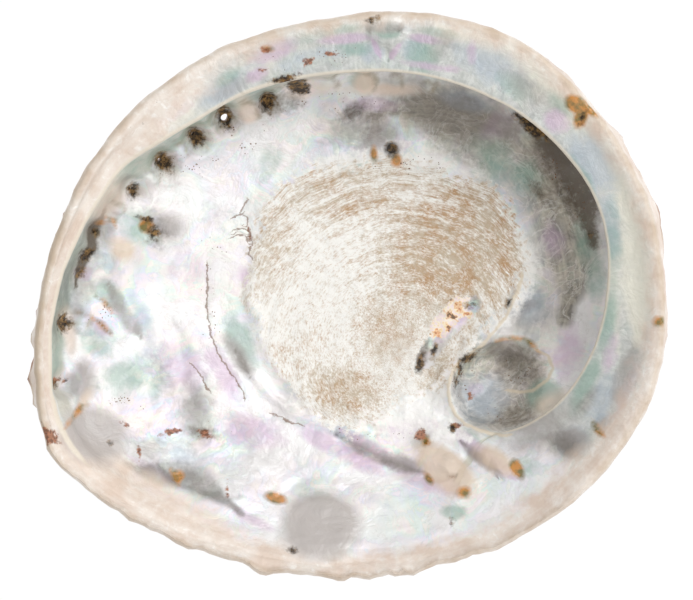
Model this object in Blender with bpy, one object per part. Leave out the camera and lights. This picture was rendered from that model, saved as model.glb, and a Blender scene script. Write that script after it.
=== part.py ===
"""An abalone shell, lying on its back with the open side up.

The shell is one solid: a deep ear-shaped bowl, a shelf that curls in along one side and
winds down into the hollow of the spire, and a row of breathing pores just inside the shelf.

Frame: metres, +Z up. +X points to the spire end, along the shell's length. The origin is
under the middle of the bounding box, on the surface that the shell lies on.
Sizes below are in millimetres, and angles are in degrees, counter-clockwise from +X,
round the middle of the bowl.
"""

import math

import bmesh
import bpy
import numpy as np
from mathutils import Vector

MM = 0.001

# Driving dimensions
BOWL_MIDDLE = (4.92, 1.83)
FLOOR_THICKNESS = 5.0
WORN_FLAT_RADIUS = 13.0
COLUMNS = 112

# Reach of the rim from the middle of the bowl, and its height
RIM_REACH = {
    0: 74.3, 20: 73.6, 40: 72.8, 60: 72.8, 80: 70.7, 100: 69.2, 120: 71.3, 140: 74.5, 160: 78.4,
    180: 83.4, 190: 86.4, 200: 89.6, 207: 91.6, 215: 88.6, 224: 84.7, 240: 78.4, 260: 74.5,
    280: 72.7, 300: 73.1, 320: 74.6, 340: 76.0,
}
RIM_HEIGHT = {
    0: 40.0, 40: 41.5, 80: 42.0, 120: 41.0, 160: 38.5, 200: 35.5, 240: 34.0, 280: 34.5, 320: 37.5,
}

# Inner edge of the shelf: reach and height. It sinks towards the spire.
EDGE_REACH = {
    0: 60.3, 20: 61.5, 40: 59.6, 60: 57.0, 80: 55.5, 100: 55.4, 121: 58.7, 137: 61.9, 146: 65.8,
    153: 69.8, 162: 72.6, 171: 75.9, 184: 80.6, 199: 85.3, 206: 88.5, 270: 50.0, 290: 48.0,
    302: 48.0, 312: 50.2, 320: 53.6, 329: 56.3, 340: 58.2,
}
EDGE_HEIGHT = {
    0: 32.5, 20: 35.0, 40: 36.5, 60: 37.5, 80: 38.0, 100: 37.5, 120: 36.5, 140: 35.0, 160: 33.5,
    180: 32.5, 205: 32.0, 280: 14.0, 300: 15.0, 312: 18.5, 320: 22.0, 340: 28.5,
}

# Widest reach of the hollow, which lies under the shelf on the right
HOLLOW_REACH = {
    0: 66.0, 20: 66.5, 40: 65.0, 60: 62.0, 80: 58.5, 93: 56.6, 118: 57.2, 130: 59.6, 139: 61.4,
    148: 64.1, 157: 67.8, 165: 71.2, 177: 76.0, 186: 79.8, 196: 83.6, 205: 87.0, 270: 48.0,
    290: 46.0, 305: 47.5, 313: 51.0, 320: 55.5, 328: 59.5, 340: 63.0,
}
HOLLOW_HEIGHT = {0: 20.5, 40: 21.5, 80: 22.5, 130: 21.5, 180: 21.0, 205: 22.0, 280: 16.0, 320: 17.0}
OUTER_BULGE = {0: 3.0, 40: 2.5, 80: 1.5, 110: 0.9, 200: 0.8, 300: 1.5, 330: 2.8}

# Section where there is a shelf. Floor: share of the hollow's reach, and rise above the floor's middle.
HOLLOW_FLOOR = ((0.30, 0.8), (0.60, 4.2), (0.85, 10.0))
# How far the shelf hangs over the hollow before its edge is fully undercut, and the undercut
OVERHANG, UNDERCUT = 3.0, 0.6
EDGE_DEPTH = 1.7
# Share of the rise from the shelf's edge to the rim that is reached half way across the shelf
SHELF_RISE = 0.42
# The rim: its width, its fall inside, the setback of its crest, and its fall outside
RIM_WIDTH, RIM_INNER_FALL, RIM_SETBACK, RIM_OUTER_FALL = 2.4, 0.3, 1.0, 1.4
# Wall behind the hollow, then the back: share of the reach there, and share of the hollow's height
HOLLOW_WALL = 2.4
BACK_CURVE = ((1.0, 0.95), (0.90, 0.56), (0.60, 0.20))

# Where the shelf's form gives way to the plain lip's: (fully shelf, fully lip) at the left end
# for the rim and for the deep parts, and at the spire's end for the inside and for the back
LEFT_RIM_FADE = (196.0, 210.0)
LEFT_DEEP_FADE = (168.0, 246.0)
SPIRE_INSIDE_FADE = (-50.0, -84.0)
SPIRE_BACK_FADE = (-20.0, -88.0)
# The step at the shelf's edge sinks into the plain slope between these angles
STEP_FADE = (-37.0, -57.0)
# How far each point of the section follows the deep fade at the left end
DEEP_SHARE = (1.0, 1.0, 1.0, 1.0, 0.8, 0.4, 0.15, 0.0, 0.0, 0.0, 0.0, 0.3, 0.6, 1.0, 1.0, 1.0)

# Stations along the outer lip's section, as shares of the rim's reach, with the wall there
LIP_INNER = (0.0, 0.28, 0.54, 0.74, 0.86, 0.905, 0.935, 0.958, 0.976)
LIP_OUTER = ((0.955, 2.8), (0.90, 3.1), (0.80, 3.6), (0.61, 4.1), (0.40, 4.6))
LIP_CURVE = 2.5

# Cuts of each stretch between two neighbouring points of a section
INNER_CUTS = (3, 4, 4, 3, 2, 1, 2, 1, 1, 1)
OUTER_CUTS = (1, 2, 3, 3, 4, 4, 1)

# Point of a section that is the shelf's edge, rows at the rim that carry no relief, and the
# share of the inside's relief that the plain lip has
EDGE_POINT, RIM_ROWS, LIP_RELIEF = 6, 3, 0.55

# Pores: place, radius, and the reach of the bore through the wall
PORES = {
    "pore_old": (-21.6, 50.7, 1.7),
    "pore_1": (-32.4, 46.4, 2.3),
    "pore_2": (-39.8, 41.5, 2.2),
    "pore_3": (-48.3, 34.9, 2.2),
    "pore_4": (-56.0, 27.7, 2.3),
    "pore_5": (-65.2, 16.7, 2.2),
    "pore_6": (-72.5, -6.2, 2.4),
    "pore_new": (-74.5, -21.7, 2.2),
}
PORE_HEIGHT = 20.0
PORE_SLOPE = math.radians(48.0)
PORE_DEPTH = (5.0, 13.0)
PORE_TAPER = (1.05, 0.95)
PORE_SIDES = 14

# The spire's hollow inside, and its knob on the back
SPIRE = (38.7, -23.3)
SPIRE_RADIUS, SPIRE_DEPTH = 12.8, 5.0
SPIRE_MOUTH = math.radians(40.0)
SPIRE_SLOPE_START, SPIRE_STEEPNESS = 0.35, 0.4
KNOB_DEPTH, KNOB_RADIUS, KNOB_CLEARANCE, KNOB_EDGE = 4.2, 12.0, 0.6, (0.1, 0.6)
SPIRE_RIDGE = ((46.1, 0.2), (39.6, -6.3), (32.6, -12.1), (27.1, -18.3), (25.7, -25.3), (28.9, -31.8),
               (34.7, -36.1))
RIDGE_HEIGHT, RIDGE_HALF_WIDTH = 1.9, 3.0

# Back: humps at the pores, folds that fan out from the spire, and growth steps round it.
# The folds grow between two distances from the spire. The worn underside keeps none of them.
PORE_HUMP, PORE_HUMP_SETBACK = 1.2, 3.0
FOLD_COUNT, FOLD_HEIGHT, FOLD_TWIST, FOLD_GROWTH = 5, 0.7, 0.16, (25.0, 60.0)
GROWTH_STEP, GROWTH_HEIGHT = 14.0, 0.45
WORN_HEIGHTS = (1.5, 9.0)

# Muscle scar: a low table on the floor
SCAR = (9.1, 0.2)
SCAR_RADII = (37.0, 35.0)
SCAR_HEIGHT, SCAR_EDGE = 1.1, (0.93, 1.02)

# Gutter of the floor between the scar and the shelf
GUTTER = ((11.1, 46.7), (29.1, 43.2), (45.1, 33.7), (55.1, 19.7), (57.6, 3.7), (52.1, -11.3), (45.1, -19.3))
GUTTER_DEPTH, GUTTER_HALF_WIDTH, GUTTER_START = 2.6, 7.5, 0.3

# Broad swells (+) and dips (-) of the inside: x, y, radius, height
SWELLS = (
    (-57.9, -39.3, 10.0, 1.5), (-44.9, -44.8, 7.0, -1.4), (-29.9, -52.8, 8.0, 1.1),
    (-16.9, -50.3, 7.0, -0.8), (-4.9, -59.3, 9.0, 1.2), (-52.9, -12.3, 9.0, -0.9),
    (-62.9, -24.3, 8.0, 0.9), (-36.9, -27.3, 8.0, 0.7), (13.1, -41.8, 8.0, -1.0),
    (27.1, -47.8, 8.0, 0.8), (61.1, -38.3, 8.0, -0.9), (-59.9, 5.7, 7.0, 0.9),
)


def around(stations, angles):
    """Values at the angles, on a smooth closed curve through {angle: value}."""
    keys = np.array(sorted(stations), float)
    values = np.array([stations[k] for k in sorted(stations)], float)
    keys = np.concatenate([keys - 360.0, keys, keys + 360.0])
    values = np.tile(values, 3)
    return hermite(keys, values[:, None], np.mod(angles, 360.0))[:, 0]


def hermite(keys, values, wanted):
    """Smooth curve through values (rows) at rising keys, read at the wanted keys."""
    slopes = np.gradient(values, keys, axis=0)
    i = np.clip(np.searchsorted(keys, wanted, side="right") - 1, 0, len(keys) - 2)
    span = (keys[i + 1] - keys[i])[:, None]
    t = (wanted[:, None] - keys[i][:, None]) / span
    return (
        values[i] * (1 + 2 * t) * (1 - t) ** 2
        + values[i + 1] * t * t * (3 - 2 * t)
        + slopes[i] * span * t * (1 - t) ** 2
        - slopes[i + 1] * span * t * t * (1 - t)
    )


def smooth(low, high, x):
    """0 below low, 1 above high, and a smooth step between them."""
    t = np.clip((np.asarray(x, float) - low) / (high - low), 0.0, 1.0)
    return t * t * (3.0 - 2.0 * t)


def hump(x, y, middle, radius):
    """A round bell of height 1 about the middle, which reaches 0 at about twice the radius."""
    return np.exp(-((x - middle[0]) ** 2 + (y - middle[1]) ** 2) / radius**2)


def distance_to_line(x, y, points):
    """Distance of each point to an open line, and how far along the line it is, from 0 to 1."""
    nearest = np.full(np.shape(x), 1e9)
    along = np.zeros(np.shape(x))
    count = len(points) - 1
    for i in range(count):
        (ax, ay), (bx, by) = points[i], points[i + 1]
        dx, dy = bx - ax, by - ay
        t = np.clip(((x - ax) * dx + (y - ay) * dy) / (dx * dx + dy * dy), 0.0, 1.0)
        d = np.hypot(x - ax - t * dx, y - ay - t * dy)
        closer = d < nearest
        nearest = np.where(closer, d, nearest)
        along = np.where(closer, (i + t) / count, along)
    return nearest, along


def fade_out(angle, stretch):
    """1 before the stretch (first, last) of angles, 0 after it, in the stretch's own direction."""
    first, last = stretch
    turned = (angle - first + 180.0) % 360.0 - 180.0
    return float(1.0 - smooth(0.0, 1.0, turned / (last - first)))


def shelf_weights(angle):
    """For each point of the section, 1 where the wall has the shelf's form and 0 where it is the lip's."""
    if 90.0 < angle < 265.0:
        deep, rim = fade_out(angle, LEFT_DEEP_FADE), fade_out(angle, LEFT_RIM_FADE)
        return np.array([share * deep + (1.0 - share) * rim for share in DEEP_SHARE])
    inside, back = fade_out(angle, SPIRE_INSIDE_FADE), fade_out(angle, SPIRE_BACK_FADE)
    return np.array([inside] * len(LIP_INNER) + [back] * (2 + len(LIP_OUTER)))


def lip_height(reach, rim, top):
    """Height of the plain bowl's inside at a reach."""
    return FLOOR_THICKNESS + (top - FLOOR_THICKNESS) * (reach / rim) ** LIP_CURVE


def shelf_section(angle):
    """Points (reach, height) of the wall where it carries the shelf: floor, hollow, shelf, rim, back."""
    a = np.array([angle])
    rim, top = around(RIM_REACH, a)[0], around(RIM_HEIGHT, a)[0]
    edge, edge_z = around(EDGE_REACH, a)[0], around(EDGE_HEIGHT, a)[0]
    hollow, hollow_z = around(HOLLOW_REACH, a)[0], around(HOLLOW_HEIGHT, a)[0]
    bulge = around(OUTER_BULGE, a)[0]
    under = float(np.clip((hollow - edge) / OVERHANG, -1.0, 1.0))
    inner = np.array(
        [(0.0, FLOOR_THICKNESS)]
        + [(share * hollow, FLOOR_THICKNESS + rise) for share, rise in HOLLOW_FLOOR]
        + [
            (hollow, hollow_z),
            (edge + UNDERCUT * under, edge_z - EDGE_DEPTH),
            (edge, edge_z),
            (0.5 * (edge + rim), edge_z + SHELF_RISE * (top - edge_z)),
            (rim - RIM_WIDTH, top - RIM_INNER_FALL),
        ]
    )
    step = fade_out(angle, STEP_FADE) if angle > 265.0 else 1.0
    inner[:, 1] = step * inner[:, 1] + (1.0 - step) * lip_height(inner[:, 0], rim, top)
    shoulder, shoulder_z = hollow + HOLLOW_WALL, BACK_CURVE[0][1] * hollow_z
    outer = (
        [(rim - RIM_SETBACK, top), (rim, top - RIM_OUTER_FALL)]
        + [(rim + t * (shoulder - rim) + bulge, top + t * (shoulder_z - top)) for t in (1 / 3, 2 / 3)]
        + [(share * shoulder, height * hollow_z) for share, height in BACK_CURVE]
    )
    return np.vstack([inner, np.array(outer)])


def lip_section(angle):
    """Points (reach, height) of the plain outer lip: a bowl's curve, then the same curve a wall lower."""
    a = np.array([angle])
    rim, top = around(RIM_REACH, a)[0], around(RIM_HEIGHT, a)[0]
    inner = [(s * rim, lip_height(s * rim, rim, top)) for s in LIP_INNER]
    outer = [(rim - RIM_SETBACK, top), (rim, top - RIM_OUTER_FALL)]
    for s, wall in LIP_OUTER:
        slope = math.atan((top - FLOOR_THICKNESS) * LIP_CURVE * s ** (LIP_CURVE - 1.0) / rim)
        height = lip_height(s * rim, rim, top)
        outer.append((s * rim + wall * math.sin(slope), height - wall * math.cos(slope)))
    return np.array(inner + outer)


def section(angle):
    """The whole section at an angle, from the middle of the floor to the middle of the back."""
    weights = shelf_weights(angle)[:, None]
    points = weights * shelf_section(angle) + (1.0 - weights) * lip_section(angle)
    points = np.vstack([points, (WORN_FLAT_RADIUS, 0.0), (0.0, 0.0)])
    cuts = INNER_CUTS + OUTER_CUTS
    keys = np.concatenate([[0.0], np.cumsum(np.linalg.norm(np.diff(points, axis=0), axis=1) ** 0.5)])
    wanted = [keys[0]]
    for i, count in enumerate(cuts):
        wanted += [keys[i] + (keys[i + 1] - keys[i]) * (k + 1) / count for k in range(count)]
    curve = hermite(keys, points, np.array(wanted))
    back = slice(sum(INNER_CUTS) + 1, None)
    curve[back, 1] = np.maximum(curve[back, 1], 0.0)
    return curve


def inside_relief(x, y):
    """How far the inside stands up above the plain floor at a point, in the frame's millimetres."""
    scar = np.hypot((x - SCAR[0]) / SCAR_RADII[0], (y - SCAR[1]) / SCAR_RADII[1])
    relief = SCAR_HEIGHT * (1.0 - smooth(*SCAR_EDGE, scar))
    gutter, along = distance_to_line(x, y, GUTTER)
    relief -= GUTTER_DEPTH * np.exp(-((gutter / GUTTER_HALF_WIDTH) ** 2)) * smooth(0.0, GUTTER_START, along)
    spire = np.hypot(x - SPIRE[0], y - SPIRE[1]) / SPIRE_RADIUS
    steep = 0.5 - 0.5 * np.cos(np.arctan2(y - SPIRE[1], x - SPIRE[0]) - SPIRE_MOUTH)
    relief -= SPIRE_DEPTH * (1.0 - smooth(SPIRE_SLOPE_START + SPIRE_STEEPNESS * steep, 1.0, spire))
    ridge, _ = distance_to_line(x, y, SPIRE_RIDGE)
    relief += RIDGE_HEIGHT * np.exp(-((ridge / RIDGE_HALF_WIDTH) ** 2))
    for sx, sy, radius, height in SWELLS:
        relief += height * hump(x, y, (sx, sy), radius)
    return relief


def outside_relief(x, y, angle, height):
    """How far the back stands out from its plain form: spire, pore humps, folds and growth ridges."""
    relief = np.zeros(np.shape(x))
    for px, py, radius in PORES.values():
        reach = math.hypot(px - BOWL_MIDDLE[0], py - BOWL_MIDDLE[1])
        out = (reach + PORE_HUMP_SETBACK) / reach
        middle = (BOWL_MIDDLE[0] + (px - BOWL_MIDDLE[0]) * out, BOWL_MIDDLE[1] + (py - BOWL_MIDDLE[1]) * out)
        relief += PORE_HUMP * hump(x, y, middle, 2.0 * radius)
    from_spire = np.hypot(x - SPIRE[0], y - SPIRE[1])
    turn = np.arctan2(y - SPIRE[1], x - SPIRE[0])
    folds = np.sin(FOLD_COUNT * turn + FOLD_TWIST * from_spire) * smooth(*FOLD_GROWTH, from_spire)
    growth = np.sin(2.0 * math.pi * from_spire / GROWTH_STEP + 1.5 * np.sin(turn))
    keep = smooth(*WORN_HEIGHTS, height)
    relief += keep * (FOLD_HEIGHT * folds + GROWTH_HEIGHT * growth)
    return relief


def shell_grid():
    """Points of the shell, one row for each step along the section and one column for each angle."""
    angles = np.arange(COLUMNS) * 360.0 / COLUMNS
    sections = np.array([section(a) for a in angles])
    turn = np.radians(angles)[:, None]
    x = BOWL_MIDDLE[0] + sections[:, :, 0] * np.cos(turn)
    y = BOWL_MIDDLE[1] + sections[:, :, 0] * np.sin(turn)
    z = sections[:, :, 1].copy()
    grid = np.stack([x, y, z], axis=2)

    rows = np.arange(grid.shape[1])
    floor_rows, inner_rows = sum(INNER_CUTS[:4]), sum(INNER_CUTS)
    on_floor = np.interp(rows, (floor_rows - 2, floor_rows), (1.0, 0.0))
    on_lip = np.where(rows < inner_rows - RIM_ROWS, LIP_RELIEF, 0.0)
    lip = np.array([1.0 - shelf_weights(a)[EDGE_POINT] for a in angles])
    share = np.maximum(on_floor[None, :], lip[:, None] * on_lip[None, :])
    grid[:, :, 2] += share * inside_relief(x, y)

    outward = surface_normals(grid)
    back = slice(inner_rows + RIM_ROWS, None)
    bumps = outside_relief(x[:, back], y[:, back], turn, z[:, back])
    grid[:, back] += outward[:, back] * bumps[:, :, None]
    knob = KNOB_DEPTH * hump(x[:, back], y[:, back], SPIRE, KNOB_RADIUS)
    lowest = KNOB_CLEARANCE * smooth(*KNOB_EDGE, knob)
    grid[:, back, 2] = np.maximum(grid[:, back, 2] - knob, lowest)
    return grid


def surface_normals(grid):
    """Outward unit normals of the grid's surface."""
    round_ = np.roll(grid, -1, axis=0) - np.roll(grid, 1, axis=0)
    down = np.gradient(grid, axis=1)
    normals = np.cross(round_, down)
    length = np.linalg.norm(normals, axis=2, keepdims=True)
    return -normals / np.maximum(length, 1e-9)


def shell_mesh(grid):
    """Closed mesh over the grid, with one point for the middle of the floor and one for the back."""
    bm = bmesh.new()
    columns, rows = grid.shape[:2]
    floor = bm.verts.new(Vector(grid[:, 0].mean(axis=0)) * MM)
    back = bm.verts.new(Vector(grid[:, -1].mean(axis=0)) * MM)
    rings = [[bm.verts.new(Vector(grid[c, r]) * MM) for c in range(columns)] for r in range(1, rows - 1)]
    for c in range(columns):
        n = (c + 1) % columns
        bm.faces.new((floor, rings[0][c], rings[0][n]))
        for upper, lower in zip(rings[:-1], rings[1:]):
            bm.faces.new((upper[c], lower[c], lower[n], upper[n]))
        bm.faces.new((rings[-1][c], back, rings[-1][n]))
    bmesh.ops.recalc_face_normals(bm, faces=bm.faces)
    mesh = bpy.data.meshes.new("shell")
    bm.to_mesh(mesh)
    bm.free()
    return mesh


def pore_cutters():
    """One object with a tapered peg for each pore, which leans outward and down through the wall."""
    bm = bmesh.new()
    for x, y, radius in PORES.values():
        out = Vector((x - BOWL_MIDDLE[0], y - BOWL_MIDDLE[1], 0.0)).normalized()
        axis = out * math.cos(PORE_SLOPE) - Vector((0.0, 0.0, math.sin(PORE_SLOPE)))
        before, after = PORE_DEPTH
        middle = Vector((x, y, PORE_HEIGHT)) + axis * (after - before) / 2.0
        peg = bmesh.ops.create_cone(
            bm, cap_ends=True, segments=PORE_SIDES, radius1=radius * PORE_TAPER[0] * MM,
            radius2=radius * PORE_TAPER[1] * MM, depth=(before + after) * MM,
        )
        turn = axis.to_track_quat("Z", "Y").to_matrix()
        for vertex in peg["verts"]:
            vertex.co = turn @ vertex.co + middle * MM
    mesh = bpy.data.meshes.new("pore_cutters")
    bm.to_mesh(mesh)
    bm.free()
    cutters = bpy.data.objects.new("pore_cutters", mesh)
    bpy.context.scene.collection.objects.link(cutters)
    cutters.hide_render = True
    cutters.display_type = "WIRE"
    return cutters


def nacre():
    """Pearly nacre, nearly white, with a soft gloss."""
    material = bpy.data.materials.new("nacre")
    material.use_nodes = True
    shader = material.node_tree.nodes["Principled BSDF"]
    shader.inputs["Base Color"].default_value = (0.80, 0.76, 0.71, 1.0)
    shader.inputs["Roughness"].default_value = 0.32
    shader.inputs["Metallic"].default_value = 0.0
    return material


def main():
    """Builds the shell from an empty scene."""
    for old in list(bpy.data.objects):
        bpy.data.objects.remove(old)
    shell = bpy.data.objects.new("shell", shell_mesh(shell_grid()))
    bpy.context.scene.collection.objects.link(shell)
    shell.data.materials.append(nacre())
    shell.data.shade_smooth()
    cut = shell.modifiers.new("pores", "BOOLEAN")
    cut.operation = "DIFFERENCE"
    cut.solver = "EXACT"
    cut.object = pore_cutters()


main()
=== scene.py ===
"""Looks of an abalone shell that lies on its back with its open, pearly side up.

The shell is one mesh. Its form follows the solid in the frame: a section from the middle of the floor
over the shelf and the rim to the middle of the back, turned round the middle of the bowl. On that form
lie the finer things: folds of the pearl, the rough muscle scar, the spire's whorls, beads and pits at the
pores, cracks, the layered lip and the crusted back. The same features give the masks that the finish reads.
Sizes are millimetres until the mesh is made.
"""

import logging
import math
from dataclasses import dataclass, field
from enum import Enum

import bpy
import numpy as np
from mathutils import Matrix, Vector
from mathutils.kdtree import KDTree


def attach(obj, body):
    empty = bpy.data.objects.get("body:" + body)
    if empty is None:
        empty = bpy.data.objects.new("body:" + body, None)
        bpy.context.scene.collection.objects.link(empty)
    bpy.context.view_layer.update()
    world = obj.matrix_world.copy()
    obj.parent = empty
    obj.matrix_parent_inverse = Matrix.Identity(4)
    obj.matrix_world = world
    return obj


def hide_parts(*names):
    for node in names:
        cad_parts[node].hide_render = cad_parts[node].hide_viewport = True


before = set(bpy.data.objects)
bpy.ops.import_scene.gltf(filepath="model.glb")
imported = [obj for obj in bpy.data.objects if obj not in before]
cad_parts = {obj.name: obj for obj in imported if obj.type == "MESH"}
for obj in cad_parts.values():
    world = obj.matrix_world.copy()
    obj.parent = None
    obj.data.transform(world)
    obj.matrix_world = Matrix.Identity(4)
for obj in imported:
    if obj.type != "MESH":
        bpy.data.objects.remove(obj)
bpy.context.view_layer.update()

MM = 0.001
# Millimetres: how far in and out a sharp outline is measured, how far from a thin line, and no mark at all
DEPTH_LIMIT = 3.0
LINE_REACH = 2.4
FAR = 9.0
# Radius of the circle on which patterns run round the rim, and how thin a drawn line ends
RIM_CIRCLE = 70.0
THIN_END = 0.25
LOG = logging.getLogger("abalone")

Table = dict[int, float]
Spot = tuple[float, float]
Points = tuple[Spot, ...]
Array = np.ndarray
Socket = bpy.types.NodeSocket


def smooth(low: float, high: float, x: Array | float) -> Array:
    """Gives 0 below low, 1 above high and a smooth step between them."""
    t = np.clip((np.asarray(x, float) - low) / (high - low), 0.0, 1.0)
    return t * t * (3.0 - 2.0 * t)


def bell(distance: Array, radius: float) -> Array:
    """Gives 1 at no distance and falls to nearly 0 at twice the radius."""
    return np.exp(-((distance / radius) ** 2))


def turn_window(angle: Array, first: float, last: float, soft: float) -> Array:
    """Gives 1 between two angles in degrees, counter-clockwise, with soft ends.

    Args:
        angle: Angles in degrees.
        first: Where the window opens.
        last: Where it closes; larger than first.
        soft: Width of each end, in degrees.

    Returns:
        Weights from 0 to 1.
    """
    middle, half = 0.5 * (first + last), 0.5 * (last - first)
    off = np.abs((angle - middle + 180.0) % 360.0 - 180.0)
    return 1.0 - smooth(half - soft, half + soft, off)


def from_segment(x: Array, y: Array, start: Spot, end: Spot) -> tuple[Array, Array]:
    """Measures points against one straight piece.

    Args:
        x: Places along X.
        y: Places along Y.
        start: Where the piece starts.
        end: Where it ends.

    Returns:
        The distance to the piece, and how far along it the nearest point is, from 0 to 1.
    """
    (ax, ay), (bx, by) = start, end
    dx, dy = bx - ax, by - ay
    t = np.clip(((x - ax) * dx + (y - ay) * dy) / (dx * dx + dy * dy), 0.0, 1.0)
    return np.hypot(x - ax - t * dx, y - ay - t * dy), t


def distance_to_line(x: Array, y: Array, points: Points) -> tuple[Array, Array]:
    """Measures points against an open line.

    Args:
        x: Places along X.
        y: Places along Y.
        points: The line's corners.

    Returns:
        The distance to the line, and how far along it the nearest point is, from 0 to 1.
    """
    nearest = np.full(np.shape(x), 1e9)
    along = np.zeros(np.shape(x))
    count = len(points) - 1
    for i in range(count):
        away, t = from_segment(x, y, points[i], points[i + 1])
        closer = away < nearest
        nearest = np.where(closer, away, nearest)
        along = np.where(closer, (i + t) / count, along)
    return nearest, along


def polar(x: Array, y: Array, middle: Spot) -> tuple[Array, Array]:
    """Gives each place's distance from a middle, and its direction in radians."""
    dx, dy = x - middle[0], y - middle[1]
    return np.hypot(dx, dy), np.arctan2(dy, dx)


def round_rim(angle: Array, radius: float, across: Array) -> Array:
    """Makes coordinates that run round the shell.

    Args:
        angle: Each column's angle in degrees.
        radius: Radius of the circle that they run on.
        across: The third coordinate.

    Returns:
        One row of three numbers for each place.
    """
    turn = np.radians(angle)
    level = np.zeros(across.shape)
    return np.stack([radius * np.cos(turn) + level, radius * np.sin(turn) + level, across], axis=-1)


def hermite(keys: Array, values: Array, wanted: Array) -> Array:
    """Reads a smooth curve through rows of values.

    Args:
        keys: Rising places of the rows.
        values: The rows.
        wanted: Places to read.

    Returns:
        One row for each wanted place.
    """
    slopes = np.gradient(values, keys, axis=0)
    i = np.clip(np.searchsorted(keys, wanted, side="right") - 1, 0, len(keys) - 2)
    span = (keys[i + 1] - keys[i])[:, None]
    t = (wanted[:, None] - keys[i][:, None]) / span
    return (
        values[i] * (1 + 2 * t) * (1 - t) ** 2
        + values[i + 1] * t * t * (3 - 2 * t)
        + slopes[i] * span * t * (1 - t) ** 2
        - slopes[i + 1] * span * t * t * (1 - t)
    )


def around(stations: Table, angles: Array) -> Array:
    """Reads a smooth closed curve round the bowl.

    Args:
        stations: Values by angle in degrees.
        angles: Angles to read.

    Returns:
        The curve's value at each angle.
    """
    keys = np.array(sorted(stations), float)
    values = np.array([stations[k] for k in sorted(stations)], float)
    keys = np.concatenate([keys - 360.0, keys, keys + 360.0])
    return hermite(keys, np.tile(values, 3)[:, None], np.mod(angles, 360.0))[:, 0]


@dataclass(frozen=True)
class Grain:
    """Smooth random relief in space, the same on every run.

    Attributes:
        size: Width of its largest lumps, in millimetres.
        octaves: How many finer layers are added, each half as wide and half as high.
        seed: Which pattern.
    """

    size: float
    octaves: int = 3
    seed: int = 1

    @staticmethod
    def lattice(ix: Array, iy: Array, iz: Array, seed: int) -> Array:
        """Gives one fixed random value for each whole-numbered place.

        Args:
            ix: Places along X.
            iy: Places along Y.
            iz: Places along Z.
            seed: Which pattern.

        Returns:
            Values from 0 to 1.
        """
        n = (ix * 374761393 + iy * 668265263 + iz * 1440662683 + seed * 1274126177) & 0xFFFFFFFF
        n = ((n ^ (n >> 13)) * 1274126177) & 0xFFFFFFFF
        return ((n ^ (n >> 16)) & 0xFFFF) / 65535.0

    def layer(self, places: Array, seed: int) -> Array:
        """Blends the lattice's values smoothly between whole-numbered places.

        Args:
            places: One row of x, y, z for each place, in steps of the lattice.
            seed: Which pattern.

        Returns:
            Values from -1 to 1.
        """
        base = np.floor(places)
        t = places - base
        t = t * t * (3.0 - 2.0 * t)
        cell = base.astype(np.int64)
        total = np.zeros(len(places))
        for corner in range(8):
            dx, dy, dz = corner & 1, (corner >> 1) & 1, corner >> 2
            weight = (
                (t[:, 0] if dx else 1 - t[:, 0])
                * (t[:, 1] if dy else 1 - t[:, 1])
                * (t[:, 2] if dz else 1 - t[:, 2])
            )
            total += weight * self.lattice(cell[:, 0] + dx, cell[:, 1] + dy, cell[:, 2] + dz, seed)
        return 2.0 * total - 1.0

    def __call__(self, places: Array) -> Array:
        """Reads the relief.

        Args:
            places: One row of x, y, z for each place, in millimetres.

        Returns:
            Heights from about -1 to 1.
        """
        flat = places.reshape(-1, 3) / self.size
        total = np.zeros(len(flat))
        scale, high = 1.0, 0.0
        for octave in range(self.octaves):
            total += self.layer(flat / scale + 17.3 * octave, self.seed + octave) * scale
            high += scale
            scale *= 0.5
        return (total / high * 1.6).reshape(places.shape[:-1])


@dataclass(frozen=True)
class Patch:
    """A soft-edged oval on the shell, seen from above.

    Attributes:
        x: Middle along X, in millimetres.
        y: Middle along Y.
        length: Half length.
        width: Half width.
        turn: Direction of its length in degrees.
        soft: Softness of the edge, as a share of the half size.
        strength: Value in its middle.
    """

    x: float
    y: float
    length: float
    width: float
    turn: float = 0.0
    soft: float = 0.5
    strength: float = 1.0

    def reach(self, x: Array, y: Array) -> Array:
        """Measures how far out each place lies.

        Args:
            x: Places along X.
            y: Places along Y.

        Returns:
            0 in the middle to 1 on the outline, and more outside.
        """
        c, s = math.cos(math.radians(self.turn)), math.sin(math.radians(self.turn))
        u = ((x - self.x) * c + (y - self.y) * s) / self.length
        v = ((y - self.y) * c - (x - self.x) * s) / self.width
        return np.hypot(u, v)

    def cover(self, x: Array, y: Array) -> Array:
        """Gives its strength inside, falling to 0 outside."""
        return self.strength * (1.0 - smooth(1.0 - self.soft, 1.0 + self.soft, self.reach(x, y)))

    def depth(self, x: Array, y: Array) -> Array:
        """Gives how far inside its edge each place lies, in millimetres, below 0 outside."""
        return (1.0 - self.reach(x, y)) * math.sqrt(self.length * self.width)


@dataclass(frozen=True)
class Line:
    """A soft-edged drawn line on the shell, seen from above.

    Attributes:
        points: Its corners, in millimetres.
        width: Half width.
        soft: Softness of the edge, as a share of the half width.
        taper: Share of its length over which each end thins out.
        strength: Value along its middle.
    """

    points: Points
    width: float
    soft: float = 0.5
    taper: float = 0.15
    strength: float = 1.0

    def measure(self, x: Array, y: Array) -> tuple[Array, Array]:
        """Measures places against the line.

        Args:
            x: Places along X.
            y: Places along Y.

        Returns:
            Their distance to it, and its half width next to them.
        """
        away, along = distance_to_line(x, y, self.points)
        thin = np.clip(np.minimum(along, 1.0 - along) / max(self.taper, 1e-6), THIN_END, 1.0)
        return away, self.width * thin

    def cover(self, x: Array, y: Array) -> Array:
        """Gives its strength on the line, falling to 0 beside it."""
        away, width = self.measure(x, y)
        return self.strength * (1.0 - smooth(1.0 - self.soft, 1.0 + self.soft, away / width))

    def depth(self, x: Array, y: Array) -> Array:
        """Gives how far inside its edge each place lies, in millimetres, below 0 outside."""
        away, width = self.measure(x, y)
        return width - away


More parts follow.
